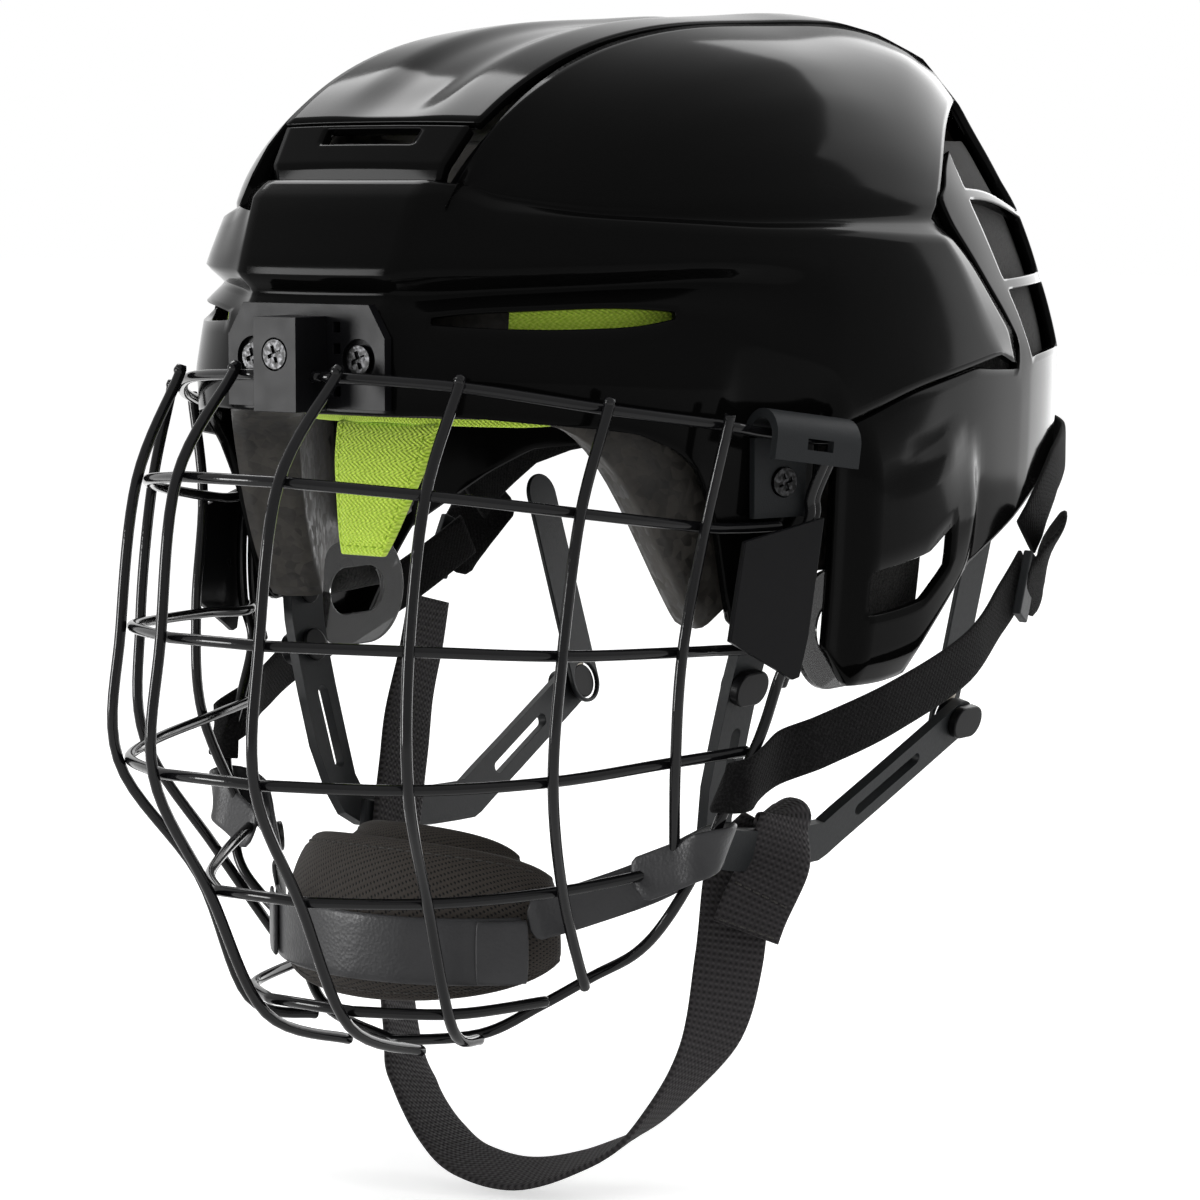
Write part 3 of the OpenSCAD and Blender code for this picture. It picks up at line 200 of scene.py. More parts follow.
# %% [markdown]
# ## The finishes
# The helmet is nearly all black, so the finishes are told apart by their gloss and grain: mirror-smooth
# shells, satin clips with a fine grain, coated wire, bead foam with its marbled cells, knitted lime cloth,
# mesh, ribbed webbing and a few bright screws.

# %% Hard finishes


def grained(name, base, spread, scale, detail=2, grain=None, **sockets):
    """A hard finish: a roughness of base + spread x noise, and where grain is given, a fine bump of noise."""
    made = Finish(name, **sockets)
    made.rough(base, spread, made.noise(scale, detail))
    if grain:
        scale, height, strength = grain
        made.bump(made.noise(scale, 2), height, strength)
    return made


shell_black = Finish("shell_black", Base_Color=paint(0.002), Specular_IOR_Level=0.03)
shell_black.rough(0.1, 0.05, shell_black.noise(35, 4).between(0.45, 0.75))
shell_black.bump(shell_black.noise(22, 2), 0.0003, 0.25)
NEAR_BLACK = paint((0.004, 0.004, 0.0045))
clip_grey = grained("clip_grey", 0.42, 0.16, 900, 2, (2600, 0.00008, 0.5),
                    Base_Color=paint((0.012, 0.013, 0.014)), Specular_IOR_Level=0.12)
plate_black = grained("plate_black", 0.24, 0.14, 160, 3, (1500, 0.00004, 0.4),
                      Base_Color=NEAR_BLACK, Specular_IOR_Level=0.06)
wire_coat = grained("wire_coat", 0.07, 0.06, 240, 2, (700, 0.00006, 0.5),
                    Base_Color=NEAR_BLACK, Specular_IOR_Level=0.18)
clear_guard = grained("clear_guard", 0.03, 0.05, 90, Base_Color=paint(0.1), Transmission_Weight=0.75, IOR=1.3)
steel = grained("steel", 0.26, 0.2, 1400, Metallic=1.0)
steel.tint(steel.noise(900).between(0.4, 0.7), 0.012, (0.05, 0.05, 0.052))
rivet_black = grained("rivet_black", 0.25, 0.15, 1200, Metallic=0.6)
rivet_black.tint(rivet_black.noise(800, 2), 0.01, 0.05)
bone_clear = grained("bone_clear", 0.3, 0.1, 300)
bone_clear.tint(bone_clear.noise(120, 2), (0.33, 0.28, 0.21), (0.5, 0.45, 0.36))

# %% Soft finishes
TURN = 6.2832
BEADS = 400


def waves(run, pitch):
    """Sine of the distance along a cloth, one full turn for each pitch."""
    return (run * (TURN / pitch)).sine()


def woven(across, along, cross_pitch, run_pitch):
    """Height of a plain weave, 0 to 1: threads that cross go up and down in turn, as a product of two sines."""
    return waves(across, cross_pitch) * waves(along, run_pitch) * 0.5 + 0.5


foam_beads = Finish("foam_beads", Specular_IOR_Level=0.2)
speck = foam_beads.cells(BEADS, "F1", "Color")
bead_tone = foam_beads.node("ShaderNodeSeparateColor", None, {0: speck})
marble = foam_beads.noise(55, 4, 0.65).between(0.35, 0.66)
foam_beads.tint(bead_tone * 0.55 + marble * 0.45, (0.005, 0.0045, 0.004), (0.05, 0.046, 0.041))
foam_beads.rough(0.42, 0.3, bead_tone)
foam_beads.bump(foam_beads.cells(BEADS, "DISTANCE_TO_EDGE").between(0, 0.4), 0.0002, 0.2)

pad_cloth = Finish("pad_cloth", Specular_IOR_Level=0.08, Sheen_Weight=0.06)
fuzz = pad_cloth.noise(2200, 3, 0.7)
pad_cloth.tint(fuzz.between(0.35, 0.7), 0.007, (0.035, 0.034, 0.033))
pad_cloth.rough(0.85, 0.1, fuzz)
pad_cloth.bump(fuzz + pad_cloth.cells(900), 0.0003, 0.6)

webbing = Finish("webbing", Specular_IOR_Level=0.08, Sheen_Weight=0.02)
across, along = webbing.cloth()
threads = woven(across, along, 1.5, 1.7)
rows = waves(along, 1.7) * 0.5 + 0.5
# The colour is painted shade, darker in the low parts of the weave between threads and between rows, plus a
# random tone from noise.
weave_shade_and_tone = threads * 0.35 + rows * 0.35 + 0.3 * webbing.noise(1500)
webbing.tint(weave_shade_and_tone, (0.007, 0.0066, 0.007), (0.06, 0.056, 0.058))
webbing.rough(0.66, 0.2, threads)
webbing.bump(threads * 0.5 + rows * 0.5, 0.0005)

soft_webbing = Finish("soft_webbing", Specular_IOR_Level=0.05, Sheen_Weight=0.03)
nap = soft_webbing.noise(1900, 4, 0.75)
soft_webbing.tint(nap.between(0.4, 0.75), 0.003, (0.014, 0.0135, 0.014))
soft_webbing.rough(0.86, 0.1, nap)
soft_webbing.bump(nap + woven(*soft_webbing.cloth(), 1.6, 1.6) * 0.5, 0.0004, 0.8)



def thread(name, dull, first, second):
    """A sewing thread: two tones mixed by fine noise."""
    made = Finish(name, Specular_IOR_Level=0.1)
    made.tint(made.noise(2500, 2), first, second)
    made.rough(dull, 0.1, made.noise(900))
    return made


thread_dark = thread("thread_dark", 0.6, 0.01, (0.09, 0.085, 0.08))
thread_lime = thread("thread_lime", 0.7, (0.2, 0.34, 0.015), (0.42, 0.62, 0.05))

lime_knit = Finish("lime_knit", Specular_IOR_Level=0.2, Sheen_Weight=0.2)
across, along = lime_knit.cloth()
loops = woven(across + 0.35 * waves(along, 3.1), along, 1.5, 1.35)
# The colour is painted shade, darker where the knitted loops dip, plus a random tone from noise.
lime_knit.tint(loops * 0.75 + 0.25 * lime_knit.noise(600), (0.44, 0.72, 0.03), (0.78, 1.0, 0.14))
lime_knit.rough(0.72, 0.15, loops)
lime_knit.bump(loops, 0.00045, 0.85)

mesh_cloth = Finish("mesh_cloth", Specular_IOR_Level=0.12, Sheen_Weight=0.06)
across, along = mesh_cloth.cloth()
holes = woven(across + 0.5 * along, along, 1.7, 1.7).between(0.62, 0.86)
# The holes of the mesh are painted near black, as painted shade in them.
mesh_cloth.tint(holes, (0.036, 0.031, 0.027), 0.005)
mesh_cloth.rough(0.6, 0.25, mesh_cloth.noise(800))
mesh_cloth.bump(1 - holes, 0.0004, 0.8)

band_smooth = Finish("band_smooth", Specular_IOR_Level=0.25)
band_smooth.tint(band_smooth.noise(70), (0.012, 0.012, 0.013), (0.028, 0.028, 0.03))
band_smooth.rough(0.34, 0.14, band_smooth.noise(400))
band_smooth.bump(band_smooth.cells(1100), 0.00012, 0.5)
print("finishes", len(bpy.data.materials))

# %% [markdown]
# ## Helpers that make the pieces
# A piece is made from arrays of points: a wall between two grids, or a profile carried along a path.
# Faces of a closed piece point outwards when its volume is positive, and creases keep feature lines crisp
# when a Subdivision Surface modifier rounds the rest.

# %% Meshes from arrays
WIRE_R = 1.4


def look(value, table):
    """The value of a table of (place, value) rows at a place, in straight lines between the rows."""
    table = np.array(table, float)
    return np.interp(value, table[:, 0], table[:, 1])


def mix(a, b, t):
    """From a at t = 0 to b at t = 1."""
    return a + (b - a) * t


def unit(v):
    """Vectors along the last axis, each divided by its length."""
    return v / np.linalg.norm(v, axis=-1, keepdims=True)


def stacked(x, y, z):
    """Three coordinate arrays as one array of points."""
    return np.stack(np.broadcast_arrays(x, y, z), axis=-1)


def mirror(points):
    """The same points on the wearer's other side: x becomes minus x."""
    return points * np.array([-1, 1, 1])


def curve(points, count):
    """A smooth curve through the points, each stretch in count parts: the Catmull-Rom cubic
    0.5 (2b + (c - a) t + (2a - 5b + 4c - d) t^2 + (3b - a - 3c + d) t^3) for neighbours a, b, c, d."""
    p = np.array(points, float)
    q = np.concatenate([p[:1], p, p[-1:]])
    t = (np.arange(count) / count)[None, :, None]
    a, b, c, d = (q[k:len(q) - 3 + k, None] for k in range(4))
    bent = 0.5 * (2 * b + (c - a) * t + (2 * a - 5 * b + 4 * c - d) * t**2 + (3 * b - a - 3 * c + d) * t**3)
    return np.concatenate([bent.reshape(-1, p.shape[1]), p[-1:]])


@contextmanager
def editing(mesh):
    """A mesh's vertices, edges and faces, open for changes."""
    body = bmesh.new()
    body.from_mesh(mesh)
    yield body
    body.to_mesh(mesh)
    body.free()


def add_mesh(name, points, faces, finish, weave=None):
    """A mesh object from points in millimetres. weave gives each point's place on the cloth."""
    mesh = bpy.data.meshes.new(name)
    mesh.from_pydata((points.reshape(-1, 3) * MM).tolist(), [], faces)
    if weave is not None:
        corner = np.zeros(len(mesh.loops), np.int64)
        mesh.loops.foreach_get("vertex_index", corner)
        layer = mesh.uv_layers.new(name="weave")
        layer.data.foreach_set("uv", weave.reshape(-1, 2)[corner].astype(np.float32).ravel())
    with editing(mesh) as body:
        bmesh.ops.remove_doubles(body, verts=body.verts, dist=0.005 * MM)
        bmesh.ops.delete(body, geom=[v for v in body.verts if not v.link_faces], context="VERTS")
        if body.calc_volume(signed=True) < 0:
            bmesh.ops.reverse_faces(body, faces=body.faces)
        for face in body.faces:
            face.smooth = True
    mesh.materials.append(finish.material)
    return placed(name, mesh)


def creased(piece, low, high, most):
    """Creases each edge by how sharply it folds: none below low degrees, up to most above high degrees."""
    with editing(piece.data) as body:
        layer = body.edges.layers.float.get("crease_edge") or body.edges.layers.float.new("crease_edge")
        for edge in body.edges:
            fold = np.degrees(edge.calc_face_angle(0))
            edge[layer] = float(np.clip((fold - low) / (high - low), 0, 1)) * most
    return piece


def rounded(piece, levels=2):
    """Adds a Subdivision Surface modifier with the same level in view and render."""
    smooth = piece.modifiers.new("rounded", "SUBSURF")
    smooth.levels = smooth.render_levels = levels
    return piece


def wall(name, outer, inner, finish, live=True, weave=None):
    """A closed wall between two grids of points, open where a cell is not live. Its quads are both skins of
    every live cell, and a rim wherever a live cell has no live neighbour."""
    rows, cols = outer.shape[:2]
    live = np.broadcast_to(live, (rows - 1, cols - 1))
    index = np.arange(rows * cols).reshape(rows, cols)
    a, b, d, e = index[:-1, :-1], index[:-1, 1:], index[1:, 1:], index[1:, :-1]
    near = np.pad(live, 1)
    gone = [~near[:-2, 1:-1], ~near[2:, 1:-1], ~near[1:-1, :-2], ~near[1:-1, 2:]]
    t = rows * cols
    sides = [(a, b, b + t, a + t), (d, e, e + t, d + t), (e, a, a + t, e + t), (b, d, d + t, b + t)]
    quads = [np.stack((a, e, d, b), -1)[live], np.stack((a + t, b + t, d + t, e + t), -1)[live]]
    quads += [np.stack(side, -1)[live & away] for side, away in zip(sides, gone)]
    weave = None if weave is None else np.stack([weave, weave])
    return add_mesh(name, np.stack([outer, inner]), np.concatenate(quads).tolist(), finish, weave)


def both_sides(grid):
    """A grid of rows that start at the middle, joined to its mirror image in front of it."""
    return np.concatenate([mirror(grid[:, :0:-1]), grid], axis=1)


def cells_of(grid):
    """The row of each cell of a grid, and its column, counted from the middle outwards."""
    row, col = np.meshgrid(np.arange(grid.shape[0] - 1), np.arange(grid.shape[1] - 1), indexing="ij")
    half = (grid.shape[1] - 1) // 2
    return row, np.where(col < half, half - 1 - col, col - half)


def frames(path, lean):
    """Two directions square to a path at each point: one as near as it can be to lean, and one along x that."""
    along = unit(np.gradient(path, axis=0))
    lean = np.broadcast_to(np.array(lean, float), path.shape)
    wide = unit(lean - along * np.sum(lean * along, axis=-1, keepdims=True))
    return wide, unit(np.cross(along, wide))


def carried(path, lean, profile, scale):
    """Rings of points: the path, plus the profile across and out of it, scaled in each ring."""
    wide, out = frames(path, lean)
    flat = profile[None] * scale[:, None, None]
    return path[:, None] + flat[..., :1] * wide[:, None] + flat[..., 1:] * out[:, None]


def ring_faces(rings, sides, first=0):
    """Quads between neighbouring rings, and a cap on each end."""
    i, k = np.meshgrid(np.arange(rings - 1), np.arange(sides), indexing="ij")
    p, q = i * sides + k, i * sides + (k + 1) % sides
    quads = (np.stack([p, q, q + sides, p + sides], -1).reshape(-1, 4) + first).tolist()
    caps = [list(range(first + sides - 1, first - 1, -1)),
            list(range(first + (rings - 1) * sides, first + rings * sides))]
    return quads + caps


def circle(radius, sides):
    """Points round a circle."""
    a = np.arange(sides) * 2 * np.pi / sides
    return radius * np.stack([np.cos(a), np.sin(a)], -1)


def with_round_ends(path, reach):
    """The path with three more points at each end, and the scale of each ring there: 1 - s^2 under a root."""
    s = np.array([0.5, 0.85, 0.98])
    start, end = unit(path[0] - path[1]), unit(path[-1] - path[-2])
    step, shrink = (s * reach)[:, None], np.sqrt(1 - s**2)
    return (np.concatenate([path[0] + start * step[::-1], path, path[-1] + end * step]),
            np.concatenate([shrink[::-1], np.ones(len(path)), shrink]))


def tubes(name, paths, ref, finish=wire_coat, radius=WIRE_R, sides=14):
    """Round wires along paths, as one piece. Each ring starts square to ref."""
    points, faces, first = [], [], 0
    for path in paths:
        longer, scale = with_round_ends(path, radius * 0.6)
        lean = np.cross(np.gradient(longer, axis=0), ref)
        points.append(carried(longer, lean, circle(radius, sides), scale).reshape(-1, 3))
        faces += ring_faces(len(longer), sides, first)
        first += len(longer) * sides
    return add_mesh(name, np.concatenate(points), faces, finish)


def strap_profile(width, thick, sides=20):
    """A flat oval with soft edges: half sizes times sine and cosine raised to small powers."""
    a = (np.arange(sides) + 0.5) * 2 * np.pi / sides
    c, s = np.cos(a), np.sin(a)
    return np.stack([width / 2 * np.sign(c) * np.abs(c)**0.3, thick / 2 * np.sign(s) * np.abs(s)**0.55], -1)


def run_along(path):
    """Length of the path from its start to each of its points."""
    return np.concatenate([[0], np.cumsum(np.linalg.norm(np.diff(path, axis=0), axis=1))])


def strap(name, path, width, thick, lean, finish, ends=None):
    """A strap along a path, with the cloth's map: across it, and the length along it. ends rounds its ends."""
    path, scale = with_round_ends(path, ends) if ends else (path, np.ones(len(path)))
    profile = strap_profile(width, thick)
    points = carried(path, lean, profile, scale)
    weave = np.stack(np.broadcast_arrays(profile[None, :, 0], run_along(path)[:, None]), -1)
    return add_mesh(name, points, ring_faces(len(path), len(profile)), finish, weave)


def settle(piece, body, slot, *nodes, fill=None):
    """The piece rides on a body and stands in for its CAD nodes, which are hidden. slot and fill are not used.
    """
    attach(piece, body)
    if nodes:
        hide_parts(*nodes)
    print(piece.name, len(piece.data.polygons), "faces")
    return piece


def in_pairs(name, make, body, slot, node=None, **more):
    """Settles the left and the right piece that make(name, flip) gives. flip turns x to the other side."""
    for side, sign in (("left", 1), ("right", -1)):
        made = make(f"{name}_{side}", np.array([sign, 1, 1]))
        settle(made, body, slot, *([f"{node}_{side}"] if node else []), **more)


def edged(node, body, slot, finish, width, fold=32):
    """A copy of a hard CAD node with its flat faces joined up and its edges rounded by a small bevel."""
    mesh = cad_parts[node].data.copy()
    mesh.name = node + "_edged"
    with editing(mesh) as shape:
        bmesh.ops.remove_doubles(shape, verts=shape.verts, dist=0.002 * MM)
        bmesh.ops.dissolve_limit(shape, angle_limit=np.radians(0.4), verts=shape.verts, edges=shape.edges)
        for face in shape.faces:
            face.smooth = True
        for edge in shape.edges:
            edge.smooth = bool(edge.calc_face_angle(0) < np.radians(fold))
    mesh.materials.clear()
    mesh.materials.append(finish.material)
    piece = placed(mesh.name, mesh)
    bevel = piece.modifiers.new("edges", "BEVEL")
    bevel.width, bevel.segments, bevel.limit_method = width * MM, 2, "ANGLE"
    bevel.angle_limit = np.radians(fold)
    bevel.harden_normals = True
    return settle(piece, body, slot, node)


# %% [markdown]
# ## The shape of the head shell
# In plan the shell is a rounded box, longer than wide, whose two halves meet over the widest line. Going up
# it closes over the crown on a power curve. Every moulded line is that base surface plus an offset along
# its normal, so feature lines are short tables of height and offset against the plan angle.

# %% The base surface
HALF_W, FRONT, BACK, CROWN = 98.0, 140.0, 132.0, 99.7
WIDE_Z, P_FRONT, P_BACK, P_UP, P_ACROSS = -8.0, 2.0, 2.43, 2.5, 2.4
TAPER, SKIRT, LEAN, SHELL_WALL, SHELL_GAP = 0.1, 90.0, 0.03, 3.0, 0.8


def half_length(y):
    """Half the length of the plan, in front or behind."""
    return np.where(y < 0, FRONT, BACK)


def plan_power(y):
    """Power of the plan curve, in front or behind."""
    return np.where(y < 0, P_FRONT, P_BACK)


def share_at(z):
    """Share of the full plan at height z: (1 - up^2.5)^(1/2.5) above the widest line, a slow taper below."""
    lift = np.clip((z - WIDE_Z) / CROWN, 0, 0.9999)
    return np.where(z > WIDE_Z, (1 - lift**P_UP)**(1 / P_UP), 1 - TAPER * ((WIDE_Z - z) / SKIRT)**2)


def plan_radius(angle):
    """Distance from the axis in a plan direction, from |sin/half width|^p + |cos/half length|^p = 1."""
    c = cosd(angle)
    p = plan_power(-c)
    return ((np.abs(sind(angle)) / HALF_W)**p + (np.abs(c) / half_length(-c))**p)**(-1 / p)


def skin_normal(x, y, z):
    """The outward normal: the gradient of the surface's formula."""
    p, u, v = plan_power(y), np.abs(x) / HALF_W, np.abs(y) / half_length(y)
    lift = np.maximum(z - WIDE_Z, 0) / CROWN
    k = np.maximum(u**p + v**p, 0.0001)**(P_UP / p - 1)
    return unit(stacked(np.sign(x) * k * u**(p - 1) / HALF_W, np.sign(y) * k * v**(p - 1) / half_length(y),
                        lift**(P_UP - 1) / CROWN))


SHOULDER = [[0, 0], [20, -3.5], [50, -5.5], [62, -3.5], [76, 3.5], [86, 5], [96, 4.5]]


def offset_skin(x, y, z, d):
    """A point of the base surface moved d along its normal, with the swelling of the back of the crown."""
    t = np.clip(y / 60, 0, 1)
    d = d + t * t * (3 - 2 * t) * look(z, SHOULDER)
    point = stacked(x, y, z) + np.asarray(d)[..., None] * skin_normal(x, y, z)
    return point + stacked(0 * point[..., 0], 0, LEAN * point[..., 1])


def skin(angle, z, d):
    """The surface at a plan angle and a height, moved out by d."""
    r = plan_radius(angle) * share_at(z)
    return offset_skin(r * sind(angle), -r * cosd(angle), z, d)


def height_over(x, y):
    """Height of the base surface over a point of the plan."""
    p = plan_power(y)
    g = np.minimum(((np.abs(x) / HALF_W)**p + (np.abs(y) / half_length(y))**p)**(1 / p), 1)
    return WIDE_Z + CROWN * np.maximum(1 - g**P_UP, 0)**(1 / P_UP)


def reach_back(x, z):
    """How far the base surface reaches back at x and z."""
    g = share_at(z)
    return BACK * g * np.maximum(1 - (np.abs(x) / (HALF_W * g))**P_BACK, 0)**(1 / P_BACK)


def side_x(y, z):
    """Half the width of the shell at y and z."""
    g, p = share_at(z), plan_power(y)
    return HALF_W * g * np.maximum(1 - (np.abs(y) / (half_length(y) * g))**p, 0)**(1 / p)


def back_skin(x, z, d):
    """The back of the surface at x and z, moved out by d."""
    z = z + 0 * x
    return offset_skin(x, reach_back(x, z), z, d)


def climb(angle, z, top, share, d):
    """A point between the line at height z and the line top, which it nears as 1 - cos, moved out by d."""
    r = plan_radius(angle) * share_at(z)
    f = 1 - cosd(90 * share)
    x, y = mix(r * sind(angle), top[:, 0], f), mix(-r * cosd(angle), top[:, 1], f)
    return offset_skin(x, y, height_over(x, y), d)


# %% The crown spine
SPINE_HALF = [[33, 27.84], [44, 29.58], [58, 31.32], [74, 32.48], [90, 33.93], [107, 38.18], [114, 47.31],
              [118, 53.95], [122, 62.25], [130, 66.4], [140, 68.89], [158, 78.85], [180, 83]]
EDGE_RISE = [[44, 5.6], [58, 4], [74, 2.2], [90, 1], [107, 0]]
BULGE_RISE = [[33, 1.2], [50, 1], [74, 0.8], [90, 0.3], [107, -0.5]]
BACK_FROM = 135


def spine_half(arc):
    """Half the width of the spine at an arc angle: 0 at the front, 90 on top, 180 at the back."""
    return look(arc, SPINE_HALF)


def crown_share(x):
    """Share of the crown's height left at x: (1 - |x / half width|^2.4)^(1/2.4)."""
    return (1 - (np.abs(x) / HALF_W)**P_ACROSS)**(1 / P_ACROSS)


def on_spine(arc, x, d):
    """A point of the crown at an arc angle and x, its edges standing up a little where it is flat."""
    arc, x = np.broadcast_arrays(np.asarray(arc, float), x)
    y = -np.sign(cosd(arc)) * half_length(-cosd(arc)) * crown_share(x) * np.abs(cosd(arc))**(2 / P_UP)
    z = WIDE_Z + CROWN * crown_share(x) * np.abs(sind(arc))**(2 / P_UP)
    out = d + look(arc, EDGE_RISE) * np.minimum((x / spine_half(arc))**2, 1)
    ahead = arc < BACK_FROM
    return offset_skin(x, np.where(ahead, y, reach_back(x, z)), np.where(ahead, height_over(x, y), z), out)


print("crown at", on_spine(90.0, 0.0, 0.0))

# %% [markdown]
# ## The front shell
# Its lines run from the flat face in front to the seam at the ear: rim, ridge, vent slot, bevel, ledge and
# shelf, and above the shelf a bulge climbs to the groove along the spine. Rows are the lines, columns are
# plan angles, and the cells of the vent slot stay open.

# %% Front shell tables
PANEL_TIP, ARROW_TIP, ARM_BACK, FAN_KEY, SHELF_Z = 105.5, 113.0, 63.0, 26.5, 41.6
FACE = np.array([[-4.8, 25, 4.2], [3, 25, 4.2], [12, 25, 4.2], [19.5, 23.5, 4.2], [24.3, 24, 8], [29, 26.7, 5],
                 [47.5, 28, 12.4], [51.6, 27.4, 17.6]])
FACE_SHARES, BAND_LINE, HOLLOW = np.array([0, 0.5, 0.92]), 3, 1.2
BRIM = [[11, -4.8], [16, -4.7], [24, -7], [31.6, -9], [36.4, -10.7], [39, -12.5], [42.2, -17.5], [45.8, -24],
        [47.5, -43], [50, -64]]
RIDGE = [[11, 3], [19, 4.3], [34, 2], [47, -0.6], [58, -6], [66, -11.7], [81, -4], [PANEL_TIP, 1.5],
         [ARROW_TIP, -2.2]]
VENT_LOW = [[11, 12.5], [13, 17.4], [18, 16.4], [26, 15.4], [36, 15.4], [41, 17.2], [50, 10], [66, 0],
            [PANEL_TIP, 7]]
VENT_HIGH = [[11, 19], [13, 18.6], [18, 19.8], [31, 20.3], [39, 19.6], [41, 18.4], [50, 17], [66, 9],
             [PANEL_TIP, 13]]
SLOT = [[11, 24.3], [20, 25.5], [44, 26.6], [55, 24], [66, 19], [PANEL_TIP, 20]]
BEVEL = [[11, 29], [52, 28.8], [66, 27], [PANEL_TIP, 26.5]]
LEDGE = [[12, 46.5], [18, 42.8], [31, 40.7], [52, 37.1], [PANEL_TIP, 32]]
SHELF = [[11.4, 49.3], [14, 49], [18.4, 47.2], [31, 42.8], [53.6, 39.7], [PANEL_TIP, 38.5]]
BRIM_OUT = [[11, 0.5], [40, 0], [44, -1], [48, -4]]
RIDGE_OUT = [[11, 1], [46, 1], [50, -2.5], [63, -2.5], [66, 0.5], [81, 2], [PANEL_TIP, 2.2], [ARROW_TIP, 0]]
VENT_OUT = [[40, 0], [60, 1], [PANEL_TIP, 2.4], [ARROW_TIP, 0]]
SLOT_OUT = [[11, -2], [14, -4], [42, -4], [56, 0], [66, 2], [PANEL_TIP, 2.4], [ARROW_TIP, 0]]
BEVEL_OUT = [[11, 3.5], [16, 2.2], [PANEL_TIP, 2.4], [ARROW_TIP, 0]]
LEDGE_OUT = [[12, 4], [18, 1.8], [PANEL_TIP, 2.2], [ARROW_TIP, 0]]
SHELF_OUT = [[11.4, 3], [14, 1.8], [18, -0.6], [52, -1.2], [ARROW_TIP, -2]]
SEAM = [[1, ARROW_TIP], [5, 114.3], [41.6, 94], [46, 99.5], [52, 104], [61, 117]]
MARGIN = [[1, 7.5], [8, 11], [42, 4]]
KEYS = np.array([11.4, 14, 18, 22, 26.5, 31, 36, 40.5, 43.5, 46.5, 49.5, 53, 58, ARM_BACK, 66, 73, 81, 89, 97,
                 PANEL_TIP, ARROW_TIP])
GROOVE = np.linspace(34.5, 121, len(KEYS))

# %% Front shell grid


def column_angle(key, seam_z):
    """Plan angle of a column at a line whose seam is at the given height: columns spread evenly to the seam."""
    seam = look(seam_z, SEAM)
    panel = seam - look(seam_z, MARGIN)
    first = KEYS[0] + look(seam_z, [[21, 0], [28, 0.8], [36, 1.8], [41.6, 2.2]])
    fan = mix(first, FAN_KEY, (key - KEYS[0]) / (FAN_KEY - KEYS[0]))
    side = mix(ARM_BACK, panel, (key - ARM_BACK) / (PANEL_TIP - ARM_BACK))
    return np.where(key <= FAN_KEY, fan, np.where(key <= ARM_BACK, key, np.where(key <= PANEL_TIP, side, seam)))


def face_row(k, extra):
    """Points of the flat face on line k, from the middle out, hollowed a little above the forehead band."""
    hollow = (HOLLOW if k > BAND_LINE else 0) * (1 - FACE_SHARES**2)
    y = -FRONT + FACE[k, 2] - hollow - extra
    x = FACE[k, 1] * FACE_SHARES
    return stacked(x, y, FACE[k, 0] + LEAN * y)


def feature_row(k, heights, outs, seam_z, extra):
    """Line k: the face, then the surface at the line's height and offset in every column."""
    around = skin(column_angle(KEYS, seam_z), look(KEYS, heights), look(KEYS, outs) + extra)
    return np.concatenate([face_row(k, extra), around])


def arm_row(share, extra):
    """A row between the rim and the ridge."""
    z = mix(look(KEYS, BRIM), look(KEYS, RIDGE), share)
    out = mix(look(KEYS, BRIM_OUT), look(KEYS, RIDGE_OUT), share**2)
    around = skin(column_angle(KEYS, 1), z, out + extra)
    return np.concatenate([mix(face_row(0, extra), face_row(1, extra), share), around])


def bulge_row(share, extra):
    """A row of the bulge above the shelf, which climbs to the edge of the spine's groove."""
    top = on_spine(GROOVE, spine_half(GROOVE) + SHELL_GAP, 0)
    out = (mix(look(KEYS, SHELF_OUT), look(GROOVE, BULGE_RISE), share)
           + np.maximum(look(GROOVE, EDGE_RISE) - look(GROOVE, BULGE_RISE) - 0.5, 0) * share**5
           + look(KEYS, [[12, 0], [36, 2.4]]) * sind(180 * share))
    rise = climb(column_angle(KEYS, SHELF_Z), look(KEYS, SHELF), top, share, out + extra)
    return np.concatenate([face_row(7, extra), rise])


def front_rows(extra):
    """All rows of the front shell, from the rim to the spine's groove."""
    lines = [(1, RIDGE, RIDGE_OUT, 1), (2, VENT_LOW, VENT_OUT, 8), (3, VENT_HIGH, VENT_OUT, 14),
             (4, SLOT, SLOT_OUT, 21), (5, BEVEL, BEVEL_OUT, 28), (6, LEDGE, LEDGE_OUT, 36),
             (7, SHELF, SHELF_OUT, SHELF_Z)]
    return np.stack([arm_row(t, extra) for t in (0, 0.3, 0.6, 0.85)]
                    + [feature_row(k, high, out, seam, extra) for k, high, out, seam in lines]
                    + [bulge_row(t / 6, extra) for t in range(1, 7)])


def moulded(name, outer, inner, live, most=0.93):
    """A smooth moulded shell, creased where it folds by more than 9 degrees."""
    return rounded(creased(wall(name, outer, inner, shell_black, live), 9, 24, most))


outer, inner = both_sides(front_rows(0)), both_sides(front_rows(-SHELL_WALL))
row, col = cells_of(outer)
ear_gap, spine_gap = (row < 4) & (col >= 16), (row >= 10) & (col < 3)
lens_vent = (row == 5) & (col >= 4) & (col <= 9)
front = moulded("front_shell_smooth", outer, inner, ~(ear_gap | spine_gap | lens_vent))
settle(front, "helmet", "shell", "front_shell")

# %% [markdown]
# ## The vent insert and the rear shell
# The insert closes the front of the spine, with one wide slot. The rear shell holds the ear parts, the back
# and the spine; two channels beside the spine are open between their ribs.

# %% Vent insert
INSERT_LOW, INSERT_HIGH = np.array([27.4, -118.3, 51.7]), np.array([29.2, -110.8, 61.1])
INSERT_LIP = np.array([26, -118.9, 45.5])
rise = (INSERT_HIGH - INSERT_LOW) * [0, 1, 1]
insert_normal = unit(np.cross([1, 0, 0], rise))
shares = np.array([-1, -0.75, -0.52, -0.45, 0, 0.45, 0.52, 0.75, 1])[None, :]


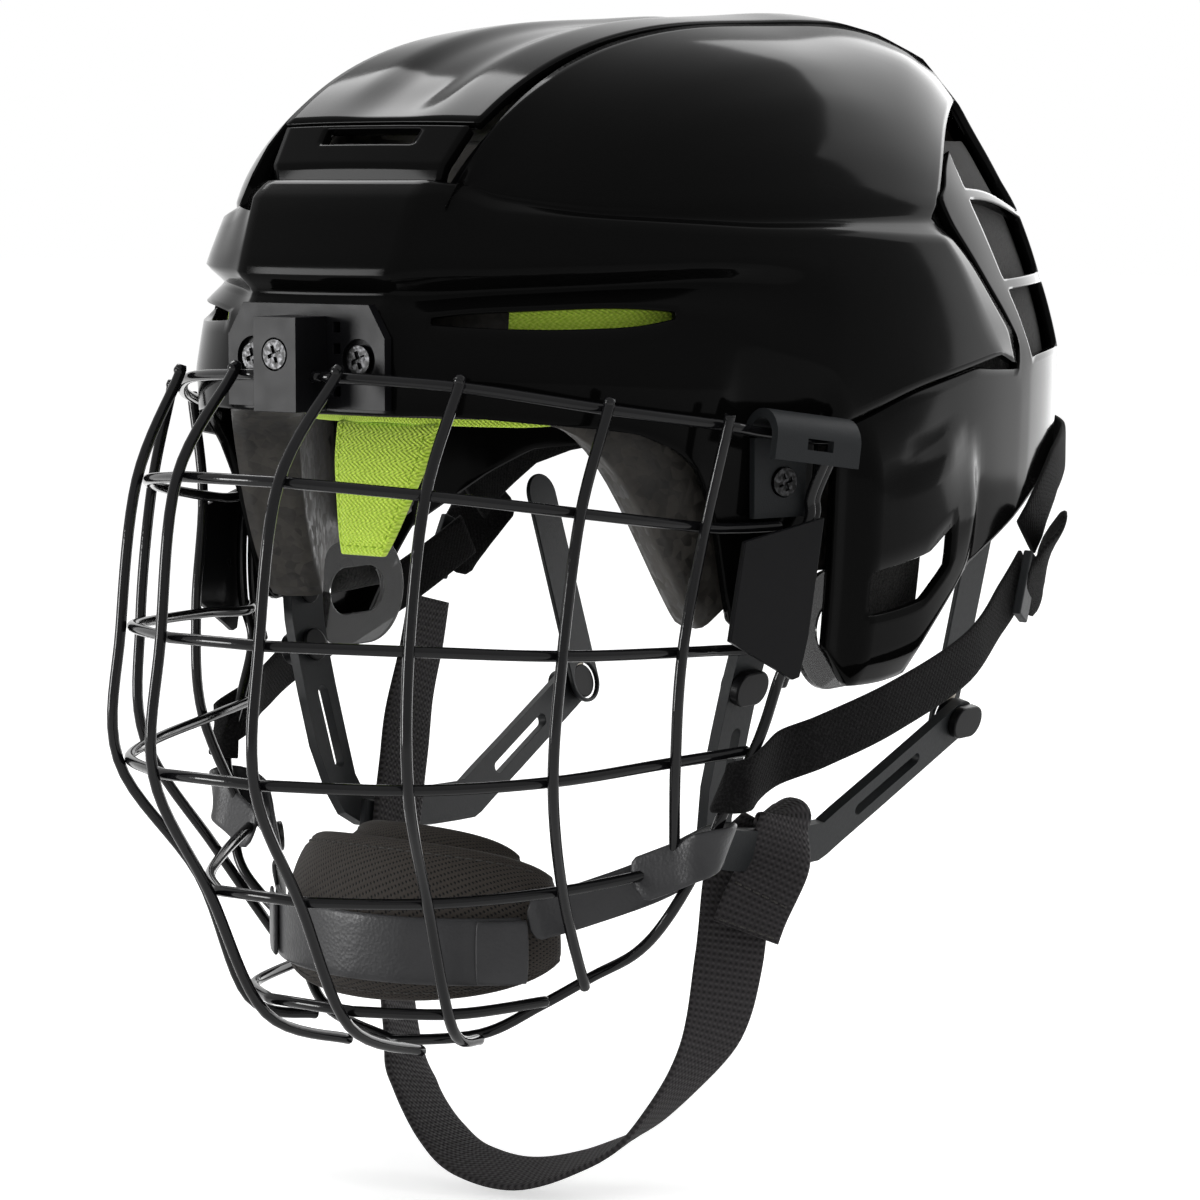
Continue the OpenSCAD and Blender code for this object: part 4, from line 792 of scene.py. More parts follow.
def insert_grid(d):
    """Rows of the insert: its lip, then points between its low and its high line, crowned in the middle."""
    t = np.array([0, 0.25, 0.52, 0.92, 1])[:, None]
    line = mix(INSERT_LOW, INSERT_HIGH, t[..., None])
    body = stacked(line[..., 0] * shares, line[..., 1], line[..., 2])
    body = body + ((d + 0.6 * (1 - shares**2))[..., None] * insert_normal)
    lip = stacked(INSERT_LIP[0] * shares, INSERT_LIP[1] - d, INSERT_LIP[2])
    return np.concatenate([lip, body])


row, col = cells_of(insert_grid(0))
wide_slot = (row == 3) & (col < 2)
insert = moulded("vent_insert_smooth", insert_grid(0), insert_grid(-SHELL_WALL), ~wide_slot, 0.94)
settle(insert, "helmet", "shell", "vent_insert")

# %% Rear shell
EAR_LINE = [[63, -65], [66.5, -71], [70, -79.5], [83, -80.5], [91, -67], [99.6, -53], [112, -45], [126, -34],
            [180, -33]]
EAR_ANGLES = np.array([65, 67.5, 70.5, 78, 84, 90, 96, 100, 106, ARROW_TIP + 0.6])
CHANNEL = [[-5.6, 120], [13, 116], [25, 112], [42, 108.5], [57, 110]]
SPINE_SHARES = np.array([0.75, 0.5, 0.25, 0])
WALL_HEIGHTS = [4, 12, 18, 20.8, 28, 36, 43, 46, 51, 56]
SAG_START, RIDGE_Z = 30, -0.3
SPINE_ARCS = mix(146, 43.4, np.arange(1, 18) / 17)
SEAM_COL, CHANNEL_COL, EDGE_COL, MIDDLE_COL = 9, 13, 15, 19
SLIDE = np.degrees(np.arctan2(8, HALF_W))
BOSS = [[64, -14], [78, -20], [89, -18], [94, -20], [104, -34], [108, -46]]
BOSS_FRONT, BOSS_BACK, BOSS_OUT = 67.5, 100, 4.5
SCOOP_FROM, SCOOP_TO, SCOOP_SHARE, SCOOP_DEPTH = 48, 130, 0.4, 2


def edge_arc(z):
    """Arc angle at which the middle of the spine passes height z behind."""
    return 180 - np.degrees(np.arcsin(np.minimum(np.maximum(z - WIDE_Z, 0) / CROWN, 1)**(P_UP / 2)))


def rear_angles(z, seam):
    """Plan angles of the columns from the seam to the spine's edge at height z."""
    x = spine_half(edge_arc(z))
    edge, channel = np.degrees(np.arctan2(x, -reach_back(x, z))), look(z, CHANNEL)
    side = mix(seam, channel, np.arange(5) / 4)
    return np.concatenate([side, mix(channel, edge, np.array([0.5, 1]))])


def rear_low_row(share, d):
    """A row between the ear edge and the ridge, with the raised boss round the ear."""
    angles = np.concatenate([EAR_ANGLES[:-1], rear_angles(RIDGE_Z, EAR_ANGLES[-1])])
    ridge = np.minimum(*(look(np.minimum(a, ARROW_TIP), RIDGE) for a in (angles, angles + SLIDE)))
    tip = look(ARROW_TIP, RIDGE) - SHELL_GAP - 0.5
    high = np.where(angles <= ARROW_TIP, ridge - SHELL_GAP - 0.5,
                    look(angles, [[ARROW_TIP, tip], [ARROW_TIP + 1, -3.4], [120, RIDGE_Z]]))
    low = look(angles, EAR_LINE)
    z = mix(low, high, share)
    edges = (angles - BOSS_FRONT) / 3, (BOSS_BACK - angles) / 4, (z - low) / 8, (look(angles, BOSS) - z) / 4
    side = skin(angles, z, d + BOSS_OUT * np.clip(np.minimum.reduce(edges), 0, 1))
    behind = mix(look(180, EAR_LINE), RIDGE_Z, share)
    return np.concatenate([side, back_skin(SPINE_SHARES * spine_half(180), behind, d)])


def rear_wall_row(z, d):
    """A row of the wall, level at the side and sagging towards the spine as the spine's first row does."""
    seam = look(z, SEAM) + 0.6
    angles = rear_angles(z, seam)[:-1]
    side = skin(np.concatenate([np.full(SEAM_COL, seam), angles]), z, d)
    x = np.concatenate([[1], SPINE_SHARES]) * spine_half(edge_arc(z))
    crest = WIDE_Z + CROWN * sind(SPINE_ARCS[0])**(2 / P_UP)
    sag = mix(1, crown_share(x), max(z - SAG_START, 0) / (crest - SAG_START))
    return np.concatenate([side, back_skin(x, WIDE_Z + (z - WIDE_Z) * sag, d)])


def rear_top_row(arc, d):
    """A row of the spine, with a shallow scoop along its middle."""
    f = np.concatenate([np.ones(EDGE_COL + 1), SPINE_SHARES])
    scooped = (SCOOP_FROM < arc < SCOOP_TO) & (f < SCOOP_SHARE)
    return on_spine(arc, f * spine_half(arc), d - SCOOP_DEPTH * scooped)


def rear_rows(d):
    """All rows of the rear shell, from the ear edge up the back and over the crown to the insert."""
    half_grid = np.stack([rear_low_row(t, d) for t in (0, 0.1, 0.27, 0.43, 0.72, 0.8, 1)]
                         + [rear_wall_row(z, d) for z in WALL_HEIGHTS]
                         + [rear_top_row(a, d) for a in SPINE_ARCS])
    return np.concatenate([half_grid, mirror(half_grid[:, -2::-1])], axis=1)


outer, inner = rear_rows(0), rear_rows(-SHELL_WALL)
row, col = cells_of(outer)
col = MIDDLE_COL - 1 - col
rib = (row == 9) | (row == 13)
channel = (col >= CHANNEL_COL) & (col < EDGE_COL) & ~rib
ear_window = (row == 2) & (col >= 2) & (col <= 4)
live = np.where(row < 6, ~ear_window, np.where(row < 16, (col >= SEAM_COL) & ~channel, col >= EDGE_COL))
settle(moulded("rear_shell_smooth", outer, inner, live), "rear", "shell", "rear_shell")

# %% Floor of the spine's grooves
ARCS = np.linspace(34, 121, 30)[:, None]
FLOOR_ROOM = [[34, 6], [50, 3.9], [65, 2.2], [80, 1], [95, 0.2]]


def groove_floor(d):
    """A narrow strip under the edge of the spine, deeper in front, where the sliding spine comes down on it."""
    across_groove = np.array([-3, -1, 0.6, 2.2])
    return on_spine(ARCS, spine_half(ARCS) + across_groove, d - look(ARCS, FLOOR_ROOM))


in_pairs("groove_floor", lambda name, flip: rounded(
    wall(name, groove_floor(-4.2) * flip, groove_floor(-5.4) * flip, plate_black)), "helmet", "shell")

# %% [markdown]
# ## The foam liners
# Expanded bead foam lines both shells. It is a thick wall under the base surface, set in by the shell's
# thickness and some slack, and its rounded edges come from the Subdivision Surface.

# %% Front and rear liner
LINER_OUT, LINER_WALL, LINER_FRONT, LINER_TOP = -3.4, 14.0, 23.0, np.array(38.0)
LINER_BOTTOM = [[0, -6], [25, -7], [33, -12], [38, -30], [43, -50], [47, -62], [51, -57], [56, -50], [80, -50],
                [88, -46]]
LINER_ANGLES = np.array([0, 6, 12, 18, 25, 32, 38, 43, 47, 51, 56, 67, 78, 88.0])
LINER_SLACK = [[13, 8.5], [20, 4.4], [44, 4.4], [50, 7.2], [64, 7.2], [72, 3]]
LINER_DEPTH = [[13, 18], [20, 21], [46, 15], [54, 10], [64, 10], [72, 14]]


def liner_rows(inward):
    """Rows of the front liner on its outer (0) or inner (1) face."""
    a = LINER_ANGLES
    depth, slack = look(a, LINER_DEPTH), look(a, LINER_SLACK)
    rows = [skin(a, mix(look(a, LINER_BOTTOM), LINER_TOP, t), LINER_OUT - slack - inward * depth)
            for t in (0, 0.25, 0.5, 0.75, 1)]
    arc = mix(36.5, 109, np.maximum(np.arange(len(a)) - 2, 0) / (len(a) - 3))
    top = on_spine(arc, spine_half(arc) + 1, 0)
    return np.stack(rows + [climb(a, LINER_TOP, top, t, LINER_OUT - slack - inward * mix(depth, LINER_WALL, t))
                            for t in (0.3, 0.55, 0.8, 1)])


def foamed(name, outer, inner, live=True):
    """A thick wall of bead foam with rounded edges."""
    return rounded(creased(wall(name, outer, inner, foam_beads, live), 50, 80, 0.75))


outer, inner = both_sides(liner_rows(0)), both_sides(liner_rows(1))
row, col = cells_of(outer)
liner = foamed("front_liner_foam", outer, inner, ~((row >= 4) & (col < 2)))
settle(liner, "helmet", "foam", "front_liner", fill=1.0)

REAR_SLACK = 2.4
REAR_SHARES = np.array([0.93, 0.6, 0.3, 0, -0.3, -0.6, -0.93])


def rear_liner_grid(inward):
    """Rows of the rear liner from the nape over the crown."""
    face = LINER_OUT - REAR_SLACK
    x = REAR_SHARES * spine_half(180)
    rows = [back_skin(x, z, face - inward * LINER_FRONT) for z in (-26, -17)]
    for arc in mix(178, 56, np.arange(15) / 14):
        depth = look(arc, [[100, LINER_WALL], [150, LINER_FRONT]])
        rows.append(on_spine(arc, REAR_SHARES * spine_half(arc), face - inward * depth))
    return np.stack(rows)


liner = foamed("rear_liner_foam", rear_liner_grid(0), rear_liner_grid(1))
settle(liner, "rear", "foam", "rear_liner", fill=1.0)

# %% [markdown]
# ## Comfort pads
# Each pad is a sheet of foam in cloth: flat where it is glued to the liner, and swelling from its sewn rim
# to the middle. The swelling is the square root of (1 - u^4)(1 - v^4). Thin pads of the same kind back the
# vents, the seam and the ear windows.

# %% Pads on the liners
PAD_WALL, SOFT_GAP = 8.0, 0.4
PAD_STEPS = np.array([-1, -0.96, -0.88, -0.75, -0.5, -0.25, 0, 0.25, 0.5, 0.75, 0.88, 0.96, 1])


def swell(u, v):
    """Share of the full thickness, from 0 at the rim to 1 in the middle."""
    return np.sqrt(np.maximum(1 - u**4, 0) * np.maximum(1 - v**4, 0))


def pad(name, at, depth, thick, size, finish=pad_cloth):
    """A padded piece between a flat back and a swollen face. at(u, v, d) gives the place of a point."""
    v, u = np.meshgrid(PAD_STEPS, PAD_STEPS, indexing="ij")
    seam = 0.5 * np.exp(-((np.maximum(np.abs(u), np.abs(v)) - 0.88) / 0.04)**2)
    face = depth + 1 + (thick - 1) * swell(u, v) - seam
    weave = np.stack([u * size[0] / 2, v * size[1] / 2], -1)
    return rounded(wall(name, at(u, v, -depth), at(u, v, -face), finish, weave=weave))


def pad_depth(thick, slack):
    """Depth of a pad's back below the shell's surface."""
    return -LINER_OUT + slack + thick + SOFT_GAP + 0.8


PATCHES = [("temple_cushion", 74, 12, -22, 22, pad_depth(LINER_WALL, 2.9), PAD_WALL, (38, 44),
            pad_cloth, "helmet", "pad", 0.7, "temple_pad"),
           ("seam_lining", 117, 25, 25, 37, 4.2, 1.6, (80, 74), pad_cloth, "rear", "foam", 0.9, None),
           ("ear_cushion", 79, 11, -53, 14, 5, 7, (36, 28), pad_cloth, "rear", "foam", 0.8, None),
           ("vent_lining", 33, 11, 17, 4, 6.3, 1.5, (44, 8), lime_knit, "helmet", "lime", 0.8, None)]
for kind, middle, reach, z, half, depth, thick, size, finish, body, slot, fill, node in PATCHES:
    in_pairs(kind, lambda name, flip: pad(
        name, lambda u, v, d: skin(middle + reach * u, z + half * v, d) * flip, depth, thick, size, finish),
        body, slot, node, fill=fill)
made = pad("crown_cushion", lambda u, v, d: on_spine(mix(99, 62, (v + 1) / 2), -22 * u, d),
           pad_depth(LINER_WALL, REAR_SLACK), PAD_WALL, (44, 60))
settle(made, "rear", "pad", "crown_pad", fill=0.7)
made = pad("nape_cushion", lambda u, v, d: skin(180 + 20 * u, -4 + 16 * v, d),
           pad_depth(LINER_FRONT, REAR_SLACK), PAD_WALL, (80, 32))
settle(made, "rear", "pad", "nape_pad", fill=0.7)

# %% [markdown]
# ## The lime forehead pad
# A knitted lime band lies along the brow, and a padded tongue hangs from its middle over the nose. The
# tongue narrows downwards. Its rim is thin, a groove runs just inside it, and a row of lime stitches lies
# in the groove.

# %% Brow band and tongue
BROW_HALF, BROW_WALL = 46.0, 5.6


def brow_depth(angle):
    """Depth of the band's outer face below the shell's surface."""
    a = np.abs(angle)
    return -LINER_OUT + look(a, LINER_SLACK) + look(a, LINER_DEPTH) + SOFT_GAP + 0.3


v, angle = np.meshgrid(np.array([-1, -0.93, -0.8, -0.4, 0.1, 0.7, 1]), BROW_HALF * np.linspace(-1, 1, 41),
                       indexing="ij")
low = look(np.abs(angle), [[0, -9.2], [26, -10.5], [BROW_HALF, -8.5]])
z = mix(low, 26, (v + 1) / 2)
thick = 1 + (BROW_WALL - 1) * swell(angle / BROW_HALF, v)
weave = np.stack([angle * 2.1, z], -1)
band = wall("brow_band", skin(angle, z, -brow_depth(angle)), skin(angle, z, -brow_depth(angle) - thick),
            lime_knit, weave=weave)
TONGUE_TOP, TONGUE_DROP, TONGUE_LEAN, TONGUE_SEAM = -12.4, 33.0, 10.0, 0.86
TONGUE_WIDTH = [[0, 16], [0.3, 14.5], [0.85, 8.5], [1, 6.5]]
tongue_y = -FRONT + brow_depth(0) + BROW_WALL / 2
t, u = np.meshgrid(np.array([1, 0.985, 0.96, 0.92, 0.86, 0.75, 0.6, 0.45, 0.3, 0.15, 0.04, 0]),
                   np.array([-1, -0.97, -0.9, -0.82, -0.6, -0.3, 0, 0.3, 0.6, 0.82, 0.9, 0.97, 1]),
                   indexing="ij")


def tongue(u, t, side):
    """A point on the front (-1) or back (1) of the tongue: thin at the sewn rim, and leaning in as it hangs."""
    u, t = np.broadcast_arrays(np.asarray(u, float), t)
    seam = 0.55 * np.exp(-((np.maximum(np.abs(u), 2 * t - 1) - TONGUE_SEAM) / 0.05)**2)
    thick = 1 + 1.8 * swell(u, 2 * t - 1) - seam
    return stacked(u * look(t, TONGUE_WIDTH), tongue_y - TONGUE_LEAN * t + side * thick,
                   TONGUE_TOP - TONGUE_DROP * t)


weave = np.stack([u * look(t, [[0, 16], [1, 8]]), t * TONGUE_DROP], -1)
flap = rounded(wall("brow_tongue", tongue(u, t, -1), tongue(u, t, 1), lime_knit, weave=weave))
settle(rounded(band), "helmet", "lime", "brow_pad", fill=0.8)
settle(flap, "helmet", "lime", fill=0.6)


ARCH, DIVE, THREAD_REF = 0.25, 0.1, (0.3, 0.5, 0.8)


def stitches(name, path, out, body, slot, finish=thread_dark, length=1.7, pitch=2.6, radius=0.24):
    """A row of short threads along a path: each dives in at both ends and stands proud in its middle."""
    run, share = run_along(path), np.linspace(0, 1, 5)
    out = np.broadcast_to(np.array(out, float), path.shape)
    paths = []
    for start in np.arange(0, run[-1] - length, pitch):
        at = start + length * share
        middle, side = (np.stack([np.interp(at, run, line[:, axis]) for axis in range(3)], -1)
                        for line in (path, out))
        paths.append(middle + side * (ARCH * np.sin(np.pi * share) - DIVE)[:, None])
    return settle(tubes(name, paths, THREAD_REF, finish, radius, 8), body, slot)


down = np.linspace(0.03, 0.93, 30)
border = np.concatenate([tongue(-TONGUE_SEAM, down, -1), tongue(np.linspace(-0.8, 0.8, 15), down[-1], -1),
                         tongue(TONGUE_SEAM, down[::-1], -1)])
stitches("tongue_stitches", border, [0, -1, 0], "helmet", "lime", thread_lime)

# %% [markdown]
# ## The cage
# The cage is welded from coated steel wire. Six cross wires lie inside four uprights on each side, and a
# frame wire runs from clip to clip under the chin. A wire is a circle carried along a smooth curve.

# %% Where the wires meet
WELD_GAP, HINGE_WIRE, LOWEST_WIRE = 0.3, 0, 5
PIVOT = np.array([0, -143.5, 0.5])
CROSSINGS = [
    [[16, 0, 0], [43.5, 11.5, -2], [68, 36, -7.5], [84, 62, -12]],
    [[16, -22.5, -24], [45.5, -4.5, -27], [68, 25.5, -32], [80.5, 59, -37]],
    [[15.5, -29.5, -62.5], [45.5, -11, -63.5], [67, 19.5, -66], [78, 53, -67.5]],
    [[16, -32, -95.5], [46, -12, -96.5], [65, 18.5, -96.5], [76, 53, -95]],
    [[14.5, -14, -126.5], [36.5, 7, -127.5], [55.5, 35, -126.5], [69, 62.5, -123.5]],
    [[13.5, 4.5, -158], [33, 20.5, -159], [42, 46.5, -159]]]
OUTWARD = np.array([[0.1, -1, 0], [0.4, -0.92, 0], [0.75, -0.66, 0], [0.9, -0.43, 0]])
CLIP_YAW, CLIP_PITCH = 19.3, 8.0
clip_centre = np.array([side_x(-59.0, -16.3) + 3.2, -59, -16.3])


def cage_point(p):
    """A point measured from the hinge wire."""
    return PIVOT + np.array(p, float)


def crossing(k, j, side):
    """Where cross wire k and upright j touch: the cross wire's line (side -1) or the upright's (side 1).
    The hinge wire keeps to its own line, and the lowest wire lies above the bent feet of the uprights."""
    out = OUTWARD[min(j, 3)] + ([0, 0, -2] if k == LOWEST_WIRE else [0, 0, 0])
    apart = 1.1 * (side + 1) if k == HINGE_WIRE else 1.2 * side if k == LOWEST_WIRE else side
    return cage_point(CROSSINGS[k][j]) + apart * (WIRE_R + WELD_GAP / 2) * unit(out)


def clip_local(p):
    """A point of the side clip's own frame, which is turned and tipped with the shell."""
    x, y, z = p[0], p[1] * cosd(CLIP_PITCH), p[2] - p[1] * sind(CLIP_PITCH)
    return clip_centre + [x * cosd(CLIP_YAW) + y * sind(CLIP_YAW), y * cosd(CLIP_YAW) - x * sind(CLIP_YAW), z]


def frame_side(z):
    """A point of the frame wire's upright stretch beside the face."""
    return np.array([side_x(-60.0, -40.0) + 3, -60, z])


def wire_end(k):
    """The last two points of cross wire k, beside the frame wire."""
    z = cage_point(CROSSINGS[k][3])[2] - 1
    return [np.array([side_x(-72.0, z) - 0.5, -72, z]), frame_side(z) - [2 * WIRE_R + WELD_GAP, 0.5, 0]]


def whole(half_path):
    """A half path from the middle out, joined to its mirror image."""
    return np.concatenate([mirror(half_path[::-1]), half_path])


# %% Cross wires, uprights and frame
STEPS = 8
hinge = np.array([[-10, PIVOT[1], PIVOT[2]], [10, PIVOT[1], PIVOT[2]]])
half_clip = [clip_local([-0.4, y, 1]) for y in (-13, 0, 9)]
upper = curve([[10, PIVOT[1], PIVOT[2]]] + [crossing(0, j, -1) for j in range(4)] + half_clip, STEPS)
first = np.concatenate([mirror(upper[::-1]), np.linspace(hinge[0], hinge[1], 9)[1:-1], upper])
settle(tubes("hinge_wire", [first], [0, 0, 1]), "cage", "wire", "cross_wire_1")
ends = {1: wire_end(1), 2: wire_end(2), 3: [cage_point([81.9, 76.5, -94])]}
for k in range(1, 6):
    half_path = curve([crossing(k, j, -1) for j in range(len(CROSSINGS[k]))] + ends.get(k, []), STEPS)
    made = tubes(f"face_wire_{k + 1}", [whole(half_path)], [0, 0, 1])
    settle(made, "cage", "wire", f"cross_wire_{k + 1}")
FEET = [[[12, 34, -171.5]], [[27, 38.5, -167.5]], [[50, 52, -153.5]], []]
for j, letter in enumerate("abcd"):
    path = curve([crossing(0, j, 1) + [0, 0, 1.5]] + [crossing(k, j, 1) for k in range(5 if j > 1 else 6)]
                 + [cage_point(p) for p in FEET[j]], STEPS)
    made = tubes("upright_wires_" + letter, [path, mirror(path)], [1, 0, 0])
    settle(made, "cage", "wire", "uprights_" + letter)
FRAME_LOW = [[86.5, 83, -78], [85, 77, -91.5], [82, 67, -107.5], [78, 65, -118], [71, 59, -134],
             [61, 59, -144.5], [48, 58, -152], [38.5, 49, -159], [24.5, 42, -167], [0, 38, -171]]
frame_points = ([clip_local(p) for p in ([2.7, 10, 1], [2.7, 7, -2.5], [-1.6, 5, -13], [-1.6, 4.5, -19])]
                + [frame_side(-48), frame_side(-66)] + [cage_point(p) for p in FRAME_LOW])
half_path = curve(frame_points, STEPS)
made = tubes("rim_wire", [np.concatenate([half_path, mirror(half_path[-2::-1])])], [0, 1, 0])
settle(made, "cage", "wire", "frame_wire")
path = curve([p + [-0.8, 2 * WIRE_R + WELD_GAP + 0.5, 0] for p in frame_points[1:7]], STEPS)
settle(tubes("stay_wires", [path, mirror(path)], [0, 1, 0]), "cage", "wire", "side_wires")

# %% [markdown]
# ## Hard small parts
# Clips, plates, screws, ear loops and snaps are right in the CAD model already. A bevel on a copy gives
# their edges the thin highlight that moulded and pressed parts have.

# %% Bevelled copies of the CAD parts
HARD = [("helmet", "shell", plate_black, 0.3, "brow_plate"),
        ("helmet", "clip", plate_black, 0.5, "cage_clip front_snaps rear_snaps"),
        ("helmet", "hardware", steel, 0.15, "clip_screw brow_screws side_clip_screws"),
        ("helmet", "hardware", steel, 0.1, "screw_nuts"),
        ("helmet", "hardware", steel, 0.2, "snap_eyelet"),
        ("helmet", "clip", clip_grey, 0.4, "side_clip_left side_clip_right rear_holder_left rear_holder_right"),
        ("helmet", "clip", clip_grey, 0.5, "ear_loop_left ear_loop_right"),
        ("helmet", "clip", clip_grey, 0.6, "snap_keeper"),
        ("helmet", "clear", clear_guard, 0.3, "ear_guard_left ear_guard_right"),
        ("rear", "clip", clip_grey, 0.5, "harness_tabs"),
        ("cage", "shell", plate_black, 0.3, "side_plate_left side_plate_right"),
        ("chin_cup", "hardware", rivet_black, 0.4, "cup_rivets")]
for body, slot, finish, width, nodes in HARD:
    for node in nodes.split():
        edged(node, body, slot, finish, width)

# %% Clear tongues on the rear holders
HOLDER = np.array([[67.2, 58.6, -82.0], [66.2, 58.8, -86], [65.2, 59, -90], [64.2, 59.2, -94]])
in_pairs("holder_tongue", lambda name, flip: strap(name, HOLDER * flip, 5, 1.2, [0, 1, 0], bone_clear, 2),
         "helmet", "clear")

# %% [markdown]
# ## Straps
# Webbing is a flat oval carried along its route. Its map runs across and along the strap, so the weave
# follows every bend and twist. Round ends link the harness straps to their tabs on the rear shell.

# %% Chin strap and harness
CHIN = [[57, -24, -119], [55.6, -27.5, -127], [54.8, -31, -134], [57.6, -39, -154], [55, -43.6, -174],
        [44, -49.6, -192.6], [32, -55.5, -204], [12, -63, -212], [-6, -65, -211], [-19, -63, -205],
        [-30, -60, -195], [-38, -55.5, -184], [-46, -49.5, -160], [-50.5, -43.5, -135], [-55, -34, -112],
        [-58, -27, -96], [-58.5, -21, -80], [-58.5, -18, -68]]
FOLD = [[58.4, -23.4, -117.2], [61, -23, -116.2], [64.6, -23.8, -118], [65.4, -28.4, -128], [62.8, -34.6, -140],
        [62, -37.6, -146]]
FACING = [[-205, 0], [-185, 0.3], [-150, 1], [-130, 1], [-118.5, 0]]


def lean_chin(path):
    """Width of the strap: along the slot of its loop, and turned to face forwards where it hangs free."""
    amount = (look(path[:, 2], FACING) * (path[:, 0] > 20))[:, None]
    away = (look(path[:, 0], [[10, 1], [25, 0]]) * look(path[:, 2], [[-160, 1], [-135, 0]]))[:, None]
    slot, forwards, far = np.array([[0, 1, 0.25], [0.75, 0.66, 0.1], [-0.3, 1, 0.25]])
    return mix(mix(slot, forwards, amount), far, away)


chin_path, fold_path = curve(CHIN, 10), curve(FOLD, 10)
for name, path, node in (("chin_webbing", chin_path, "chin_strap"),
                         ("chin_webbing_end", fold_path, "strap_fold")):
    settle(strap(name, path, 18, 1.8, lean_chin(path), webbing), "helmet", "webbing", node)
HARNESS = [cage_point(p) for p in ([79.6, 69, -102.5], [82.4, 66.2, -102], [87, 69.4, -101])] + [
    [side_x(y, -60.0) + out, y, z] for y, z, out in
    [(-60.0, -95.5, 2.5), (-48.0, -92, 4), (-26.0, -85.5, 6), (6.0, -76, 6.5), (30.0, -65, 4),
     (46.0, -56.5, 3.6)]]
TAB_END = [[98.6, 44, -62], [98.4, 49, -57], [97.8, 54, -52], [96.4, 59, -47]]
harness, tab_end = curve(HARNESS, 8), curve(TAB_END, 6)
lean = mix(np.array([0.17, 0.5, 1]), np.array([-0.05, 0.25, 1]), np.linspace(0, 1, len(harness))[:, None])
in_pairs("harness_webbing", lambda name, flip: strap(name, harness * flip, 13, 1.6, lean * flip, soft_webbing),
         "cage", "webbing", "harness_strap")
in_pairs("strap_end", lambda name, flip: strap(name, tab_end * flip, 17, 1.8, [0.05, 0.6, 1] * flip,
                                               soft_webbing, 5), "rear", "webbing")
wide, out = frames(fold_path, lean_chin(fold_path))
out = out * np.sign(np.sum(out * [1, -0.3, 0], axis=-1, keepdims=True))
for row, place in (("high", -14), ("low", -3)):
    line = fold_path[place] + out[place] * 0.95 + np.linspace(-7.5, 7.5, 9)[:, None] * wide[place]
    stitches("fold_stitches_" + row, line, out[place], "helmet", "webbing")
angles = np.linspace(-62.4, 62.4, 61)
NAPE_HIGH = [[0, -26], [45, -29], [52, -33], [58, -41], [64, -52]]
NAPE_OUT = [[0, 1.8], [57, 2.2], [60, 2.3], [64, 1.5]]
path = skin(180 + angles, look(np.abs(angles), NAPE_HIGH), look(np.abs(angles), NAPE_OUT))
settle(strap("nape_webbing", path, 13, 1.6, [0, 0, 1], soft_webbing), "rear", "webbing", "nape_strap")

# %% [markdown]
# ## The chin cup
# The cup is a padded bowl bent round the chin: an oval section carried round an arc, thin at both ends. A
# sewn groove with a row of stitches runs along it above and below. A smooth band, folded at its ends, covers
# the front, and two side straps wrap the frame wire.

# %% Cup pad, liner, band and straps
CUP_CENTRE = np.array([0, -71, -137.0])
CUP_R, CUP_H, CUP_WALL, CUP_HALF, CUP_LEAN, BAND_Z = 50.0, 40.0, 11.0, 64.0, 8.0, -6.0
CUP_MIDDLE, SEAM_RINGS, SEAM_DEPTH = CUP_R - CUP_WALL / 2, (62, 298), 0.7


def cup_at(angle, r, z):
    """A point at a radius and height round the cup's axis."""
    return CUP_CENTRE + stacked(r * sind(angle), -r * cosd(angle), z)


def cup_skin(a, k, r_mid, thick, height, half, lift, proud=0.0):
    """A point of the padded section at arc angle a and ring angle k, from its outermost point over the top."""
    shrink = np.sqrt(np.maximum(1 - np.abs(a / (half * 1.04))**6, 0))
    groove = SEAM_DEPTH * sum(np.exp(-((k - ring) / 5)**2) for ring in SEAM_RINGS)
    w = (thick / 2 * cosd(k) - np.sign(cosd(k)) * groove) * shrink + proud
    h = height / 2 * sind(k) * (0.55 + 0.45 * shrink) * (1 - 0.3 * (a / half)**2)
    return cup_at(a, r_mid + w - CUP_LEAN * h / height, lift + h)


def cup_body(name, r_mid, thick, height, half, lift, fill, node):
    """The section carried round the arc, in mesh cloth."""
    a, k = np.meshgrid(np.linspace(-half, half, 61), np.arange(40) * 9.0, indexing="ij")
    weave = np.stack([k * 0.3, a * np.pi / 180 * r_mid], -1)
    points = cup_skin(a, k, r_mid, thick, height, half, lift)
    settle(add_mesh(name, points, ring_faces(61, 40), mesh_cloth, weave), "chin_cup", "cup", node, fill=fill)


cup_body("cup_cushion", CUP_MIDDLE, CUP_WALL, CUP_H, CUP_HALF, 0, 0.8, "cup_pad")
cup_body("cup_lining", CUP_R - CUP_WALL * 1.5 - 0.6, CUP_WALL * 0.8, CUP_H * 0.8, CUP_HALF - 6, 6, 0.7,
         "cup_liner")
path = cup_at(np.linspace(-50, 50, 61), CUP_R + 2, BAND_Z)
settle(strap("cup_cover_band", path, 17, 1.4, [0, 0, 1], band_smooth), "chin_cup", "band", "cup_band")
fold = cup_at(np.linspace(38, 51, 9), CUP_R + 3.6, BAND_Z)
in_pairs("band_fold", lambda name, flip: strap(name, fold * flip, 16, 1.3, [0, 0, 1], band_smooth, 0.6),
         "chin_cup", "band")
angles = np.linspace(-58, 58, 61)
for row, ring in zip(("high", "low"), SEAM_RINGS):
    path = cup_skin(angles, ring, CUP_MIDDLE, CUP_WALL, CUP_H, CUP_HALF, 0, 0.15)
    out = 0.7 * stacked(sind(angles), -cosd(angles), np.sign(sind(ring)))
    stitches("cup_stitches_" + row, path, out, "chin_cup", "webbing")
CUP_TIP = cage_point([78, 65, -118])
